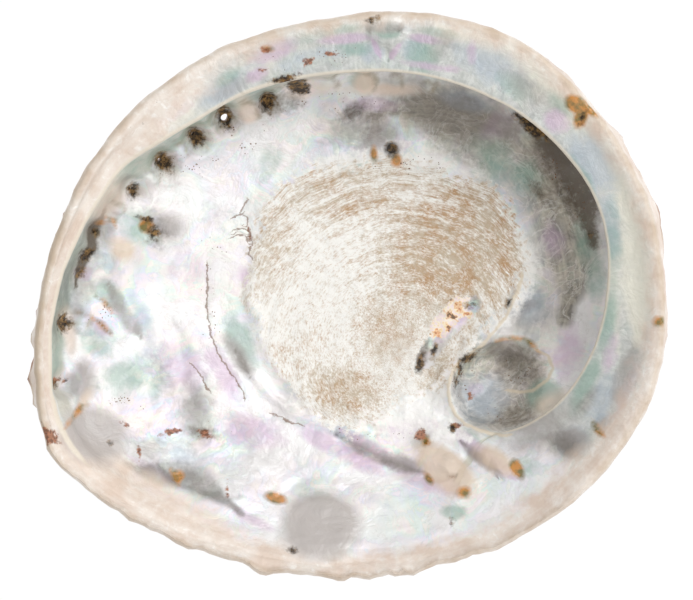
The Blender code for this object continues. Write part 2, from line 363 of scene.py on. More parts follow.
def features(*rows: tuple) -> tuple[Patch | Line, ...]:
    """Makes an oval from each row of numbers, and a drawn line from each row that starts with its corners."""
    return tuple(Line(*row) if isinstance(row[0], tuple) else Patch(*row) for row in rows)


def covered(x: Array, y: Array, shapes: tuple[Patch | Line, ...]) -> Array:
    """Gives the strongest cover of several features.

    Args:
        x: Places along X.
        y: Places along Y.
        shapes: The features.

    Returns:
        Strengths from 0 up.
    """
    total = np.zeros(np.shape(x))
    for shape in shapes:
        total = np.maximum(total, shape.cover(x, y))
    return total


def drawn(x: Array, y: Array, shapes: tuple[Patch | Line, ...], shown: Array) -> Array:
    """Gives how deep each place lies inside several sharp-edged features.

    Args:
        x: Places along X.
        y: Places along Y.
        shapes: The features.
        shown: 1 where the features count and 0 where they don't.

    Returns:
        Depths in millimetres, below 0 outside the features and held at DEPTH_LIMIT.
    """
    deepest = np.full(np.shape(x), -DEPTH_LIMIT)
    for shape in shapes:
        deepest = np.maximum(deepest, shape.depth(x, y))
    return np.clip(deepest, -DEPTH_LIMIT, DEPTH_LIMIT) * shown - DEPTH_LIMIT * (1.0 - shown)


def line_offset(x: Array, y: Array, lines: tuple[Points, ...]) -> tuple[Array, Array]:
    """Measures points against thin lines.

    Args:
        x: Places along X.
        y: Places along Y.
        lines: Corners of each line.

    Returns:
        The distance to the nearest line with a sign for its side, and 1 on a line to 0 at LINE_REACH.
    """
    nearest = np.full(np.shape(x), FAR)
    signed = np.full(np.shape(x), FAR)
    for points in lines:
        for (ax, ay), (bx, by) in zip(points[:-1], points[1:]):
            away, _ = from_segment(x, y, (ax, ay), (bx, by))
            side = np.sign((bx - ax) * (y - ay) - (by - ay) * (x - ax))
            closer = away < nearest
            nearest = np.where(closer, away, nearest)
            signed = np.where(closer, away * side, signed)
    return np.clip(signed, -DEPTH_LIMIT, DEPTH_LIMIT), np.clip(1.0 - nearest / LINE_REACH, 0.0, 1.0)


class Edge(Enum):
    """How a mark is measured: as a strength from 0 to 1, or as a depth inside its outline in mm."""

    SOFT = "soft"
    SHARP = "sharp"


@dataclass(frozen=True)
class Pore:
    """A breathing pore.

    Attributes:
        x: Place along X, in millimetres.
        y: Place along Y.
        radius: Radius of its bore.
    """

    x: float
    y: float
    radius: float


# From the oldest, at the top, down the left side to the newest
PORES = (
    Pore(-21.6, 50.7, 1.7), Pore(-32.4, 46.4, 2.3), Pore(-39.8, 41.5, 2.2), Pore(-48.3, 34.9, 2.2),
    Pore(-56.0, 27.7, 2.3), Pore(-65.2, 16.7, 2.2), Pore(-72.5, -6.2, 2.4), Pore(-74.5, -21.7, 2.2),
)


@dataclass
class ShellForm:
    """The shell's plain form, as the solid has it: tables of reach and height round the bowl."""

    middle: tuple[float, float] = (4.92, 1.83)
    floor: float = 5.0
    worn_flat: float = 13.0
    rim_reach: Table = field(default_factory=lambda: {
        0: 74.3, 20: 73.6, 40: 72.8, 60: 72.8, 80: 70.7, 100: 69.2, 120: 71.3, 140: 74.5, 160: 78.4,
        180: 83.4, 190: 86.4, 200: 89.6, 207: 91.6, 215: 88.6, 224: 84.7, 240: 78.4, 260: 74.5, 280: 72.7,
        300: 73.1, 320: 74.6, 340: 76,
    })
    rim_height: Table = field(default_factory=lambda: {
        0: 40, 40: 41.5, 80: 42, 120: 41, 160: 38.5, 200: 35.5, 240: 34, 280: 34.5, 320: 37.5,
    })
    edge_reach: Table = field(default_factory=lambda: {
        0: 60.3, 20: 61.5, 40: 59.6, 60: 57, 80: 55.5, 100: 55.4, 121: 58.7, 137: 61.9, 146: 65.8,
        153: 69.8, 162: 72.6, 171: 75.9, 184: 80.6, 199: 85.3, 206: 88.5, 270: 50, 290: 48, 302: 48,
        312: 50.2, 320: 53.6, 329: 56.3, 340: 58.2,
    })
    edge_height: Table = field(default_factory=lambda: {
        0: 32.5, 20: 35, 40: 36.5, 60: 37.5, 80: 38, 100: 37.5, 120: 36.5, 140: 35, 160: 33.5, 180: 32.5,
        205: 32, 280: 14, 300: 15, 312: 18.5, 320: 22, 340: 28.5,
    })
    hollow_reach: Table = field(default_factory=lambda: {
        0: 66, 20: 66.5, 40: 65, 60: 62, 80: 58.5, 93: 56.6, 118: 57.2, 130: 59.6, 139: 61.4, 148: 64.1,
        157: 67.8, 165: 71.2, 177: 76, 186: 79.8, 196: 83.6, 205: 87, 270: 48, 290: 46, 305: 47.5, 313: 51,
        320: 55.5, 328: 59.5, 340: 63,
    })
    hollow_height: Table = field(default_factory=lambda: {
        0: 20.5, 40: 21.5, 80: 22.5, 130: 21.5, 180: 21, 205: 22, 280: 16, 320: 17,
    })
    outer_bulge: Table = field(default_factory=lambda: {
        0: 3, 40: 2.5, 80: 1.5, 110: 0.9, 200: 0.8, 300: 1.5, 330: 2.8,
    })
    hollow_floor: Points = ((0.30, 0.8), (0.60, 4.2), (0.85, 10.0))
    overhang: float = 3.0
    undercut: float = 0.6
    edge_depth: float = 1.7
    shelf_rise: float = 0.42
    rim_width: float = 2.4
    rim_inner_fall: float = 0.3
    rim_setback: float = 1.0
    rim_outer_fall: float = 1.4
    hollow_wall: float = 2.4
    back_curve: Points = ((1.0, 0.95), (0.90, 0.56), (0.60, 0.20))
    # The left side's angles, and the stretches of angles over which the shelf's form fades out
    left_side: tuple[float, float] = (90.0, 265.0)
    left_rim_fade: tuple[float, float] = (196.0, 210.0)
    left_deep_fade: tuple[float, float] = (168.0, 246.0)
    spire_inside_fade: tuple[float, float] = (-50.0, -84.0)
    spire_back_fade: tuple[float, float] = (-20.0, -88.0)
    step_fade: tuple[float, float] = (-37.0, -57.0)
    deep_share: tuple[float, ...] = (
        1, 1, 1, 1, 0.8, 0.4, 0.15, 0, 0, 0, 0, 0.3, 0.6, 1, 1, 1,
    )
    lip_inner: tuple[float, ...] = (0.0, 0.28, 0.54, 0.74, 0.86, 0.905, 0.935, 0.958, 0.976)
    lip_outer: Points = ((0.955, 2.8), (0.90, 3.1), (0.80, 3.6), (0.61, 4.1), (0.40, 4.6))
    lip_curve: float = 2.5
    # Rows between each two neighbouring points of a section, and how many of them face in
    cuts: tuple[int, ...] = (22, 30, 27, 20, 16, 4, 11, 9, 3, 3, 8, 8, 8, 8, 14, 16, 6)
    inner_stretches: int = 10
    # Points of a section: the shelf's edge and the rim's crest
    edge_point: int = 6
    crest_point: int = 9

    @staticmethod
    def fade_out(angle: float, stretch: tuple[float, float]) -> float:
        """Fades out over a stretch of angles, in the stretch's own direction.

        Args:
            angle: An angle in degrees.
            stretch: Where it starts and ends.

        Returns:
            1 before the stretch to 0 after it.
        """
        first, last = stretch
        turned = (angle - first + 180.0) % 360.0 - 180.0
        return float(1.0 - smooth(0.0, 1.0, turned / (last - first)))

    def shelf_weights(self, angle: float) -> Array:
        """Tells where a section has the shelf's form.

        Args:
            angle: Direction from the bowl's middle, in degrees from +X.

        Returns:
            For each point of the section, 1 for the shelf's form to 0 for the plain lip's.
        """
        if self.left_side[0] < angle < self.left_side[1]:
            deep = self.fade_out(angle, self.left_deep_fade)
            rim = self.fade_out(angle, self.left_rim_fade)
            return np.array([share * deep + (1.0 - share) * rim for share in self.deep_share])
        inside = self.fade_out(angle, self.spire_inside_fade)
        back = self.fade_out(angle, self.spire_back_fade)
        return np.array([inside] * len(self.lip_inner) + [back] * (2 + len(self.lip_outer)))

    def lip_height(self, reach: Array | float, rim: float, top: float) -> Array | float:
        """Height of the plain bowl's inside at a reach."""
        return self.floor + (top - self.floor) * (reach / rim) ** self.lip_curve

    @staticmethod
    def read(angle: float, *tables: Table) -> list[float]:
        """Reads several tables at one angle."""
        return [around(table, np.array([angle]))[0] for table in tables]

    def shelf_section(self, angle: float) -> Array:
        """Lays out the wall where it carries the shelf.

        Args:
            angle: Direction from the bowl's middle, in degrees from +X.

        Returns:
            Rows of reach and height.
        """
        rim, top, edge, edge_z = self.read(
            angle, self.rim_reach, self.rim_height, self.edge_reach, self.edge_height,
        )
        hollow, hollow_z, bulge = self.read(angle, self.hollow_reach, self.hollow_height, self.outer_bulge)
        under = float(np.clip((hollow - edge) / self.overhang, -1.0, 1.0))
        inner = np.array([
            (0.0, self.floor),
            *((share * hollow, self.floor + rise) for share, rise in self.hollow_floor),
            (hollow, hollow_z),
            (edge + self.undercut * under, edge_z - self.edge_depth),
            (edge, edge_z),
            (0.5 * (edge + rim), edge_z + self.shelf_rise * (top - edge_z)),
            (rim - self.rim_width, top - self.rim_inner_fall),
        ])
        step = self.fade_out(angle, self.step_fade) if angle > self.left_side[1] else 1.0
        inner[:, 1] = step * inner[:, 1] + (1.0 - step) * self.lip_height(inner[:, 0], rim, top)
        shoulder, shoulder_z = hollow + self.hollow_wall, self.back_curve[0][1] * hollow_z
        outer = [
            (rim - self.rim_setback, top),
            (rim, top - self.rim_outer_fall),
            *((rim + t * (shoulder - rim) + bulge, top + t * (shoulder_z - top)) for t in (1 / 3, 2 / 3)),
            *((share * shoulder, height * hollow_z) for share, height in self.back_curve),
        ]
        return np.vstack([inner, np.array(outer)])

    def lip_section(self, angle: float) -> Array:
        """Lays out the plain outer lip: a bowl's curve, then the back a wall lower.

        Args:
            angle: Direction from the bowl's middle, in degrees from +X.

        Returns:
            Rows of reach and height.
        """
        rim, top = self.read(angle, self.rim_reach, self.rim_height)
        inner = [(s * rim, self.lip_height(s * rim, rim, top)) for s in self.lip_inner]
        outer = [(rim - self.rim_setback, top), (rim, top - self.rim_outer_fall)]
        for s, wall in self.lip_outer:
            rise = (top - self.floor) * self.lip_curve * s ** (self.lip_curve - 1.0) / rim
            slope = math.atan(rise)
            height = self.lip_height(s * rim, rim, top)
            outer.append((s * rim + wall * math.sin(slope), height - wall * math.cos(slope)))
        return np.array(inner + outer)

    def stations(self) -> Array:
        """Gives each row its place along the section.

        Returns:
            For each row, the number of the point before it and the share past that point.
        """
        rows = [0.0]
        for i, count in enumerate(self.cuts):
            rows += [i + (k + 1) / count for k in range(count)]
        return np.array(rows)

    def section(self, angle: float) -> Array:
        """Reads the whole section at an angle.

        Args:
            angle: Direction from the bowl's middle, in degrees from +X.

        Returns:
            Rows of reach and height, from the middle of the floor to the middle of the back.
        """
        weights = self.shelf_weights(angle)[:, None]
        points = weights * self.shelf_section(angle) + (1.0 - weights) * self.lip_section(angle)
        points = np.vstack([points, (self.worn_flat, 0.0), (0.0, 0.0)])
        keys = np.concatenate([[0.0], np.cumsum(np.linalg.norm(np.diff(points, axis=0), axis=1) ** 0.5)])
        wanted = np.interp(self.stations(), np.arange(len(keys)), keys)
        curve = hermite(keys, points, wanted)
        back = slice(sum(self.cuts[: self.inner_stretches]) + 1, None)
        curve[back, 1] = np.maximum(curve[back, 1], 0.0)
        return curve


@dataclass
class Surface:
    """The shell's points, one column for each angle and one row for each step along the section.

    Attributes:
        grid: Places, by column and row, in millimetres.
        angle: Each column's angle in degrees, as a column of numbers.
        station: Each row's place along the section, as a row of numbers.
        lip: How far each column has the plain lip's form, from 0 to 1.
    """

    grid: Array
    angle: Array
    station: Array
    lip: Array

    @property
    def x(self) -> Array:
        """Places along X."""
        return self.grid[:, :, 0]

    @property
    def y(self) -> Array:
        """Places along Y."""
        return self.grid[:, :, 1]

    @property
    def z(self) -> Array:
        """Heights."""
        return self.grid[:, :, 2]

    def normals(self) -> Array:
        """Measures the surface's direction.

        Returns:
            A unit normal for each point, which points out of the solid.
        """
        turn = np.roll(self.grid, -1, axis=0) - np.roll(self.grid, 1, axis=0)
        down = np.gradient(self.grid, axis=1)
        normal = -np.cross(turn, down)
        return normal / np.maximum(np.linalg.norm(normal, axis=2, keepdims=True), 1e-9)

    def push(self, height: Array) -> None:
        """Moves each point along its normal."""
        self.grid += self.normals() * height[:, :, None]


@dataclass
class PearlSide:
    """Relief of the pearly inside."""

    spire: tuple[float, float] = (38.7, -23.3)
    spire_radius: float = 12.8
    spire_depth: float = 5.0
    spire_mouth: float = 40.0
    spire_slope: tuple[float, float] = (0.35, 0.4)
    spire_ridge: Points = (
        (46.1, 0.2), (39.6, -6.3), (32.6, -12.1), (27.1, -18.3), (25.7, -25.3), (28.9, -31.8),
        (34.7, -36.1),
    )
    ridge_height: float = 1.9
    ridge_width: float = 3.0
    # Thin lines in the spire's hollow: its own rim, the wall of the inner whorl, and that whorl's end
    spire_rim: Points = (
        (45, 6), (44.3, 2), (42.4, -2), (40.6, -5.4), (38, -8.5), (34.8, -12), (31.4, -14.3), (28.3, -16.9),
        (26.4, -20.3), (25.6, -23.7), (26.1, -27.3), (27.6, -30.7), (29.9, -33), (33.2, -34.5),
        (36.8, -35.5), (40.1, -35.9), (42.6, -35.3), (46.3, -33.4), (50.1, -31),
    )
    whorl_wall: Points = (
        (34.2, -12.6), (35.6, -11.9), (39.3, -11.2), (43.8, -10.6), (47.2, -11.7), (49.3, -14),
        (51.1, -15.9),
    )
    whorl_end: Points = (
        (49.3, -14), (52, -15.4), (53, -18.6), (51.6, -21.6), (47.9, -24.5), (44.6, -25.1), (41.6, -24.6),
    )
    whorl: Patch = Patch(45.5, -18.9, 6.6, 5.4, 10.0, 0.35)
    scar: tuple[float, float] = (9.1, 0.2)
    scar_radii: tuple[float, float] = (37.0, 35.0)
    scar_height: float = 1.1
    scar_edge: tuple[float, float] = (0.93, 1.02)
    scar_reach: Table = field(default_factory=lambda: {
        0: 35.2, 12: 37, 30: 39.6, 45: 39.2, 61: 36, 83: 33.6, 105: 34.6, 122: 36.8, 136: 38, 149: 38.7,
        159: 37.3, 176: 36, 204: 35.4, 224: 36.2, 239: 37.7, 254: 37.1, 265: 35, 278: 30, 291: 28,
        311: 28.5, 325: 27.5, 341: 30.8,
    })
    scar_middle: tuple[float, float] = (9.0, 2.0)
    scar_ragged: float = 2.6
    scar_border: tuple[float, float] = (-5.0, 4.5)
    gouge_clearance: tuple[float, float] = (1.2, 3.4)
    gouge_width: float = 2.2
    gouge_depth: float = 0.7
    whorl_height: float = 0.4
    # The scar's growth arcs turn round a point low in it
    arc_middle: tuple[float, float] = (13.1, -13.8)
    arc_wander: tuple[float, float] = (0.7, 0.06)
    arc_radius: float = 24.0
    # Folds of the pearl: least height, places where they are livelier (place, radius, gain), and heights of
    # the soft and the sharp ones
    fold_warp: float = 7.0
    fold_least: float = 0.35
    fold_places: tuple[tuple[float, float, float, float], ...] = ((-48, -26, 42, 0.9), (0, -50, 30, 0.3))
    fold_heights: tuple[float, float] = (0.42, 0.26)
    # Layers of the lip's border, growth lines inside it, and funnels and beads at the pores
    layer_height: float = 0.22
    layer_step: float = 4.3
    growth_circle: float = 14.0
    growth_height: float = 0.42
    funnel_depth: float = 2.2
    funnel_rim: float = 0.5
    bead_height: float = 0.6
    gutter: Points = (
        (11.1, 46.7), (29.1, 43.2), (45.1, 33.7), (55.1, 19.7), (57.6, 3.7), (52.1, -11.3), (45.1, -19.3),
    )
    gutter_depth: float = 2.6
    gutter_width: float = 7.5
    gutter_start: float = 0.3
    lip_relief: float = 0.55
    swells: tuple[tuple[float, float, float, float], ...] = (
        (-57.9, -39.3, 10, 1.5), (-44.9, -44.8, 7, -1.4), (-29.9, -52.8, 8, 1.1), (-16.9, -50.3, 7, -0.8),
        (-4.9, -59.3, 9, 1.2), (-52.9, -12.3, 9, -0.9), (-62.9, -24.3, 8, 0.9), (-36.9, -27.3, 8, 0.7),
        (13.1, -41.8, 8, -1), (27.1, -47.8, 8, 0.8), (61.1, -38.3, 8, -0.9), (-59.9, 5.7, 7, 0.9),
    )
    crack: Points = (
        (-37.7, 9), (-37.4, 2), (-37.8, -2.6), (-36.9, -9.1), (-34.6, -15), (-31.4, -19.9), (-28.5, -24.1),
        (-27.8, -26.4),
    )
    short_cracks: tuple[Points, ...] = (
        ((-20.5, -30.4), (-18, -31.4), (-15.5, -32.6), (-12.7, -33.5)),
        ((-30.8, 21), (-28.8, 21.7), (-27, 20.9), (-27.2, 18.6)),
        ((-31.4, 15.7), (-29.4, 16.6), (-27.2, 15.7), (-26.3, 13.4), (-26.8, 11.1), (-26, 10.4)),
        ((-30.9, 17.4), (-28.8, 18.3), (-26.5, 17.3), (-25.9, 14)), ((-28.8, 22.5), (-27.2, 25.4)),
        ((-41.5, -17.5), (-38.6, -21.4), (-37, -24.5)),
    )
    gouge: Points = ((19.7, -16.5), (21.4, -13.4), (24.6, -9.4), (28.4, -5.6), (32.0, -1.8))
    # Beads of pearl at the wall's foot: place and radius
    beads: tuple[tuple[float, float, float], ...] = (
        (-26.6, 48.4, 2.9), (-36.2, 44, 1.7), (-44.2, 38.2, 2), (-52, 31.2, 2), (-60.4, 23, 1.8),
        (3.8, 56, 3), (11.6, 56, 2.2), (-5.6, 56, 2.2), (20, 54.4, 1.8), (-70.4, -5.8, 2.7),
    )
    # Raised and sunk spots: place, radius and height
    spots: tuple[tuple[float, float, float, float], ...] = (
        (10.9, 38.8, 1.5, -1.9), (-14.7, -64.6, 0.9, -0.6), (-52.6, 18.4, 2.2, -1.7),
        (64.3, -32.2, 2.4, -1.3), (-67.9, 10.6, 2.6, -0.9), (-70.2, 5.4, 2, -0.8), (-72, -29.4, 2.4, 1),
        (-72.2, -19.6, 2, 1), (-53.6, 20.2, 1.6, 0.7), (-64.4, 3, 2.6, -1.2), (-58.6, 11.8, 3, 1),
        (-62.5, 15.2, 2.4, 0.8), (-12, 53.6, 1.9, 0.8), (56, -36.6, 4, -0.7), (49.8, -39.2, 3, 0.5),
        (-46.6, -40, 4, 0.6), (45.2, 3.6, 2.2, 0.6),
    )
    blisters: tuple[tuple[Patch, float], ...] = (
        (Patch(-7.6, -58.8, 8.8, 7, 0, 0.2), 0.7), (Patch(-66, -35.4, 8.2, 6, -32, 0.25), 0.8),
        (Patch(-66, -3, 5.4, 3.4, -50, 0.3), 0.6), (Patch(-64, -10.5, 4.6, 3, -50, 0.3), 0.5),
        (Patch(25, -44.6, 8.6, 4.8, -38, 0.3), 0.5), (Patch(37.6, -42.6, 4.8, 2.6, -25, 0.3), 0.8),
        (Patch(54.5, 49, 3.4, 2.4, -40, 0.4), 0.3), (Patch(9.2, 66.8, 4.6, 3.6, 0, 0.3), 1),
        (Patch(7.6, -41.6, 6, 2.6, -30, 0.35), 0.6), (Patch(-29.4, -11, 4.4, 10, 28, 0.35), -0.5),
    )
    # Chalky crinkles; the finish paints them white, partly as painted highlights on the crinkles
    chalky: tuple[Patch | Line, ...] = features(
        (((33, -7), (28, -12), (23.4, -18), (21.6, -26), (24.6, -33), (31, -37)), 3.4, 0.7),
        (17, -31, 11, 6, 8, 0.7), (((-9, 35.5), (4, 36.4), (18, 36), (30, 33)), 2.2, 0.8),
        (((37, 26), (44.9, 12), (46.9, 6.5), (44.6, 1.9), (39.7, -4.6), (37.8, -8.5)), 2.8, 0.8),
        (((-36.4, 16), (-32, 19), (-31, 10)), 3.4, 0.8, 0.3, 0.7),
        (((10, 41), (20, 38.6), (33, 33), (40, 26)), 3, 0.8, 0.3, 0.5), (-2, -30, 12, 3.6, -12, 0.7, 0.8),
        (30, 30, 10, 4, -30, 0.8, 0.6),
    )
    # Long soft folds of the pearl, with their height
    creases: tuple[tuple[Line, float], ...] = (
        (Line(((-4, -35.5), (3.6, -39.6), (10.6, -43.6), (19, -45.6), (27, -46.4)), 1.8, 0.8), -1.1),
        (Line(((19.5, -37.8), (26.5, -39.5), (33, -43), (38.6, -46.6)), 1.7, 0.8), -1.1),
        (Line(((-49, -43.2), (-43, -46.8), (-36, -48.8), (-29, -51)), 2.2, 0.8), -1.2),
        (Line(((-19, -51.7), (-10, -46), (0, -46.5), (8, -50)), 1.4, 0.8), -0.5),
        (Line(((-47, -6), (-44, -14), (-43.5, -22), (-40.5, -28.5)), 1.6, 0.8), -0.7),
        (Line(((-58, -8), (-53.5, -14.5), (-47, -17.5)), 2, 0.8), -0.6),
        (Line(((-37, -27.5), (-31, -34), (-26, -41)), 2, 0.8), -0.5),
        (Line(((9.2, 63.4), (9.4, 59.4)), 1.3, 0.8, 0.5), -0.8),
        (Line(((-28, 1.8), (-24.6, -3.6), (-22.6, -8.6)), 1, 0.8), 0.7),
        (Line(((-30.5, -15.5), (-26, -20), (-21, -26), (-13, -31.5), (-2, -35.2),
         (8, -36.4)), 0.9, 0.8), 0.6),
    )

    def plain(self, x: Array, y: Array) -> Array:
        """Measures how far the inside stands above its plain form, as the solid has it.

        Args:
            x: Places along X.
            y: Places along Y.

        Returns:
            Heights in millimetres.
        """
        scar = np.hypot((x - self.scar[0]) / self.scar_radii[0], (y - self.scar[1]) / self.scar_radii[1])
        relief = self.scar_height * (1.0 - smooth(*self.scar_edge, scar))
        away, along = distance_to_line(x, y, self.gutter)
        relief -= self.gutter_depth * bell(away, self.gutter_width) * smooth(0.0, self.gutter_start, along)
        reach, turn = polar(x, y, self.spire)
        steep = 0.5 - 0.5 * np.cos(turn - math.radians(self.spire_mouth))
        start = self.spire_slope[0] + self.spire_slope[1] * steep
        relief -= self.spire_depth * (1.0 - smooth(start, 1.0, reach / self.spire_radius))
        away, _ = distance_to_line(x, y, self.spire_ridge)
        relief += self.ridge_height * bell(away, self.ridge_width)
        for sx, sy, radius, height in self.swells:
            relief += height * bell(np.hypot(x - sx, y - sy), radius)
        return relief

    def plain_share(self, surface: Surface) -> Array:
        """Tells how much of the plain relief each point takes: all of it on the floor, less up the lip.

        Args:
            surface: The shell's points.

        Returns:
            Shares from 0 to 1.
        """
        on_floor = np.interp(surface.station, (3.33, 4.0), (1.0, 0.0))
        on_lip = np.interp(surface.station, (6.3, 7.0), (self.lip_relief, 0.0))
        return np.maximum(on_floor, surface.lip * on_lip)

    def scar_cover(self, places: Array) -> Array:
        """Tells where the muscle scar is.

        Args:
            places: One row of x, y, z for each place.

        Returns:
            1 well inside the scar and 0 outside, crossing 0.5 on its ragged edge.
        """
        reach, turn = polar(places[..., 0], places[..., 1], self.scar_middle)
        angle = np.degrees(turn)
        edge = around(self.scar_reach, angle.ravel()).reshape(angle.shape)
        ragged = self.scar_ragged * Grain(9.0, 4, 31)(places)
        away, _ = distance_to_line(places[..., 0], places[..., 1], self.gouge)
        cover = 1.0 - smooth(*self.scar_border, reach + ragged - edge)
        return cover * smooth(*self.gouge_clearance, away)

    def scar_grain(self, places: Array) -> Array:
        """Makes coordinates that run across and along the scar's arcs.

        Args:
            places: One row of x, y, z for each place.

        Returns:
            One row of three coordinates for each place, in millimetres.
        """
        reach, turn = polar(places[..., 0], places[..., 1], self.arc_middle)
        across, along = (Grain(6.0, 2, seed)(places) for seed in (32, 33))
        reach = reach + self.arc_wander[0] * across
        turn = turn + self.arc_wander[1] * along
        return np.stack([reach, self.arc_radius * np.cos(turn), self.arc_radius * np.sin(turn)], axis=-1)

    def fold_height(self, places: Array, station: Array) -> Array:
        """Measures the pearl's own restless folds.

        Args:
            places: One row of x, y, z for each place.
            station: Each row's place along the section.

        Returns:
            Heights in millimetres.
        """
        warp = np.stack([Grain(19.0, 2, seed)(places) for seed in (3, 4, 5)], axis=-1)
        warped = places + self.fold_warp * warp
        x, y = places[..., 0], places[..., 1]
        lively = np.full(x.shape, self.fold_least)
        for sx, sy, radius, gain in self.fold_places:
            lively += gain * bell(np.hypot(x - sx, y - sy), radius)
        lively *= 1.0 - 0.85 * self.scar_cover(places)
        hollow, _ = polar(x, y, self.spire)
        lively *= 1.0 - 0.8 * (1.0 - smooth(0.85, 1.05, hollow / self.spire_radius))
        lively *= np.interp(station, (5.8, 6.4, 8.2, 9.0), (1.0, 0.45, 0.35, 0.0))
        soft = Grain(13.0, 3, 7)(warped)
        sharp = 0.45 - np.abs(Grain(8.0, 2, 8)(warped))
        return lively * (self.fold_heights[0] * soft + self.fold_heights[1] * sharp)

    def details(self, surface: Surface, edge: Array) -> Array:
        """Measures the finer relief, along the surface's normals.

        Args:
            surface: The shell's points.
            edge: Distance of each point from the rim's crest, along the section.

        Returns:
            Heights in millimetres.
        """
        x, y, places = surface.x, surface.y, surface.grid
        height = self.fold_height(places, surface.station)
        for part in self.scar_relief(places):
            height += part
        under = np.maximum(1.0 - smooth(4.6, 5.2, surface.station), surface.lip)
        drawn_lines = (
            (self.spire_rim, 0.35, 0.7), (self.whorl_wall, 0.35, 0.6), (self.whorl_end, 0.25, 0.4),
            (self.crack, -0.45, 0.45), *((line, -0.35, 0.4) for line in self.short_cracks),
        )
        for line, rise, width in drawn_lines:
            away, _ = distance_to_line(x, y, line)
            height += rise * bell(away, width)
        away, _ = distance_to_line(x, y, self.gouge)
        pits = self.gouge_depth * Grain(3.0, 3, 14)(places) - self.gouge_depth
        height += bell(away, self.gouge_width) * pits
        height += self.whorl_height * self.whorl.cover(x, y)
        for sx, sy, radius, rise in self.spots:
            height += under * rise * bell(np.hypot(x - sx, y - sy), radius)
        for shape, rise in (*self.blisters, *self.creases):
            height += rise * shape.cover(x, y)
        height += under * self.pore_beads(x, y)
        height += self.crinkles(surface, edge)
        layers = Grain(6.0, 2, 15)(places) * 1.2 + edge
        border = np.interp(edge, (0.5, 3.0, 8.0, 13.0), (0.0, 1.0, 1.0, 0.0)) * surface.lip
        height += border * self.layer_height * np.abs(np.sin(math.pi * layers / self.layer_step))
        return height * np.interp(surface.station, (8.2, 9.0), (1.0, 0.0))

    def scar_relief(self, places: Array) -> tuple[Array, Array]:
        """Measures the scar's fibres and crumbs, and the low wall round it.

        Args:
            places: One row of x, y, z for each place.

        Returns:
            Heights in millimetres, first inside the scar and then on its edge.
        """
        scar = self.scar_cover(places)
        crumbs = Grain(1.9, 2, 12)(places)
        arcs = Grain(1.0, 2, 13)(self.scar_grain(places) * np.array([0.45, 0.05, 0.05]))
        inside = smooth(0.42, 0.58, scar) * (0.25 + 0.16 * crumbs + 0.22 * arcs)
        return inside, 0.25 * bell(scar - 0.5, 0.16) * (0.4 + crumbs)

    def crinkles(self, surface: Surface, edge: Array) -> Array:
        """Measures the fine wrinkles: chalky ones round the scar's low end, growth lines by the lip.

        Args:
            surface: The shell's points.
            edge: Distance of each point from the rim's crest, along the section.

        Returns:
            Heights in millimetres.
        """
        places = surface.grid
        rough = covered(surface.x, surface.y, self.chalky)
        chalk = rough * (0.32 * Grain(2.4, 3, 51)(places) - 0.3 * np.abs(Grain(4.0, 2, 52)(places)))
        across = (edge + 1.6 * Grain(12.0, 2, 53)(places)) / 1.6
        run = round_rim(surface.angle, self.growth_circle, across)
        near = np.interp(edge, (6.0, 12.0, 34.0, 46.0), (0.0, 1.0, 1.0, 0.0)) * surface.lip
        lively = 0.5 + 0.5 * Grain(16.0, 2, 54)(places)
        lines = 0.5 - np.abs(Grain(2.4, 3, 55)(run))
        return chalk + near * lively * (1.0 - self.scar_cover(places)) * self.growth_height * lines

    def pore_beads(self, x: Array, y: Array) -> Array:
        """Measures the funnels at the pores, and the pearly beads between them.

        Args:
            x: Places along X.
            y: Places along Y.

        Returns:
            Heights in millimetres.
        """
        height = np.zeros(x.shape)
        for pore in PORES:
            away = np.hypot(x - pore.x - 0.3, y - pore.y + 0.4)
            height -= self.funnel_depth * bell(away, 1.15 * pore.radius)
            height += self.funnel_rim * bell(away - 2.1 * pore.radius, 1.2)
        for bx, by, radius in self.beads:
            height += self.bead_height * radius * bell(np.hypot(x - bx, y - by), radius)
        return height


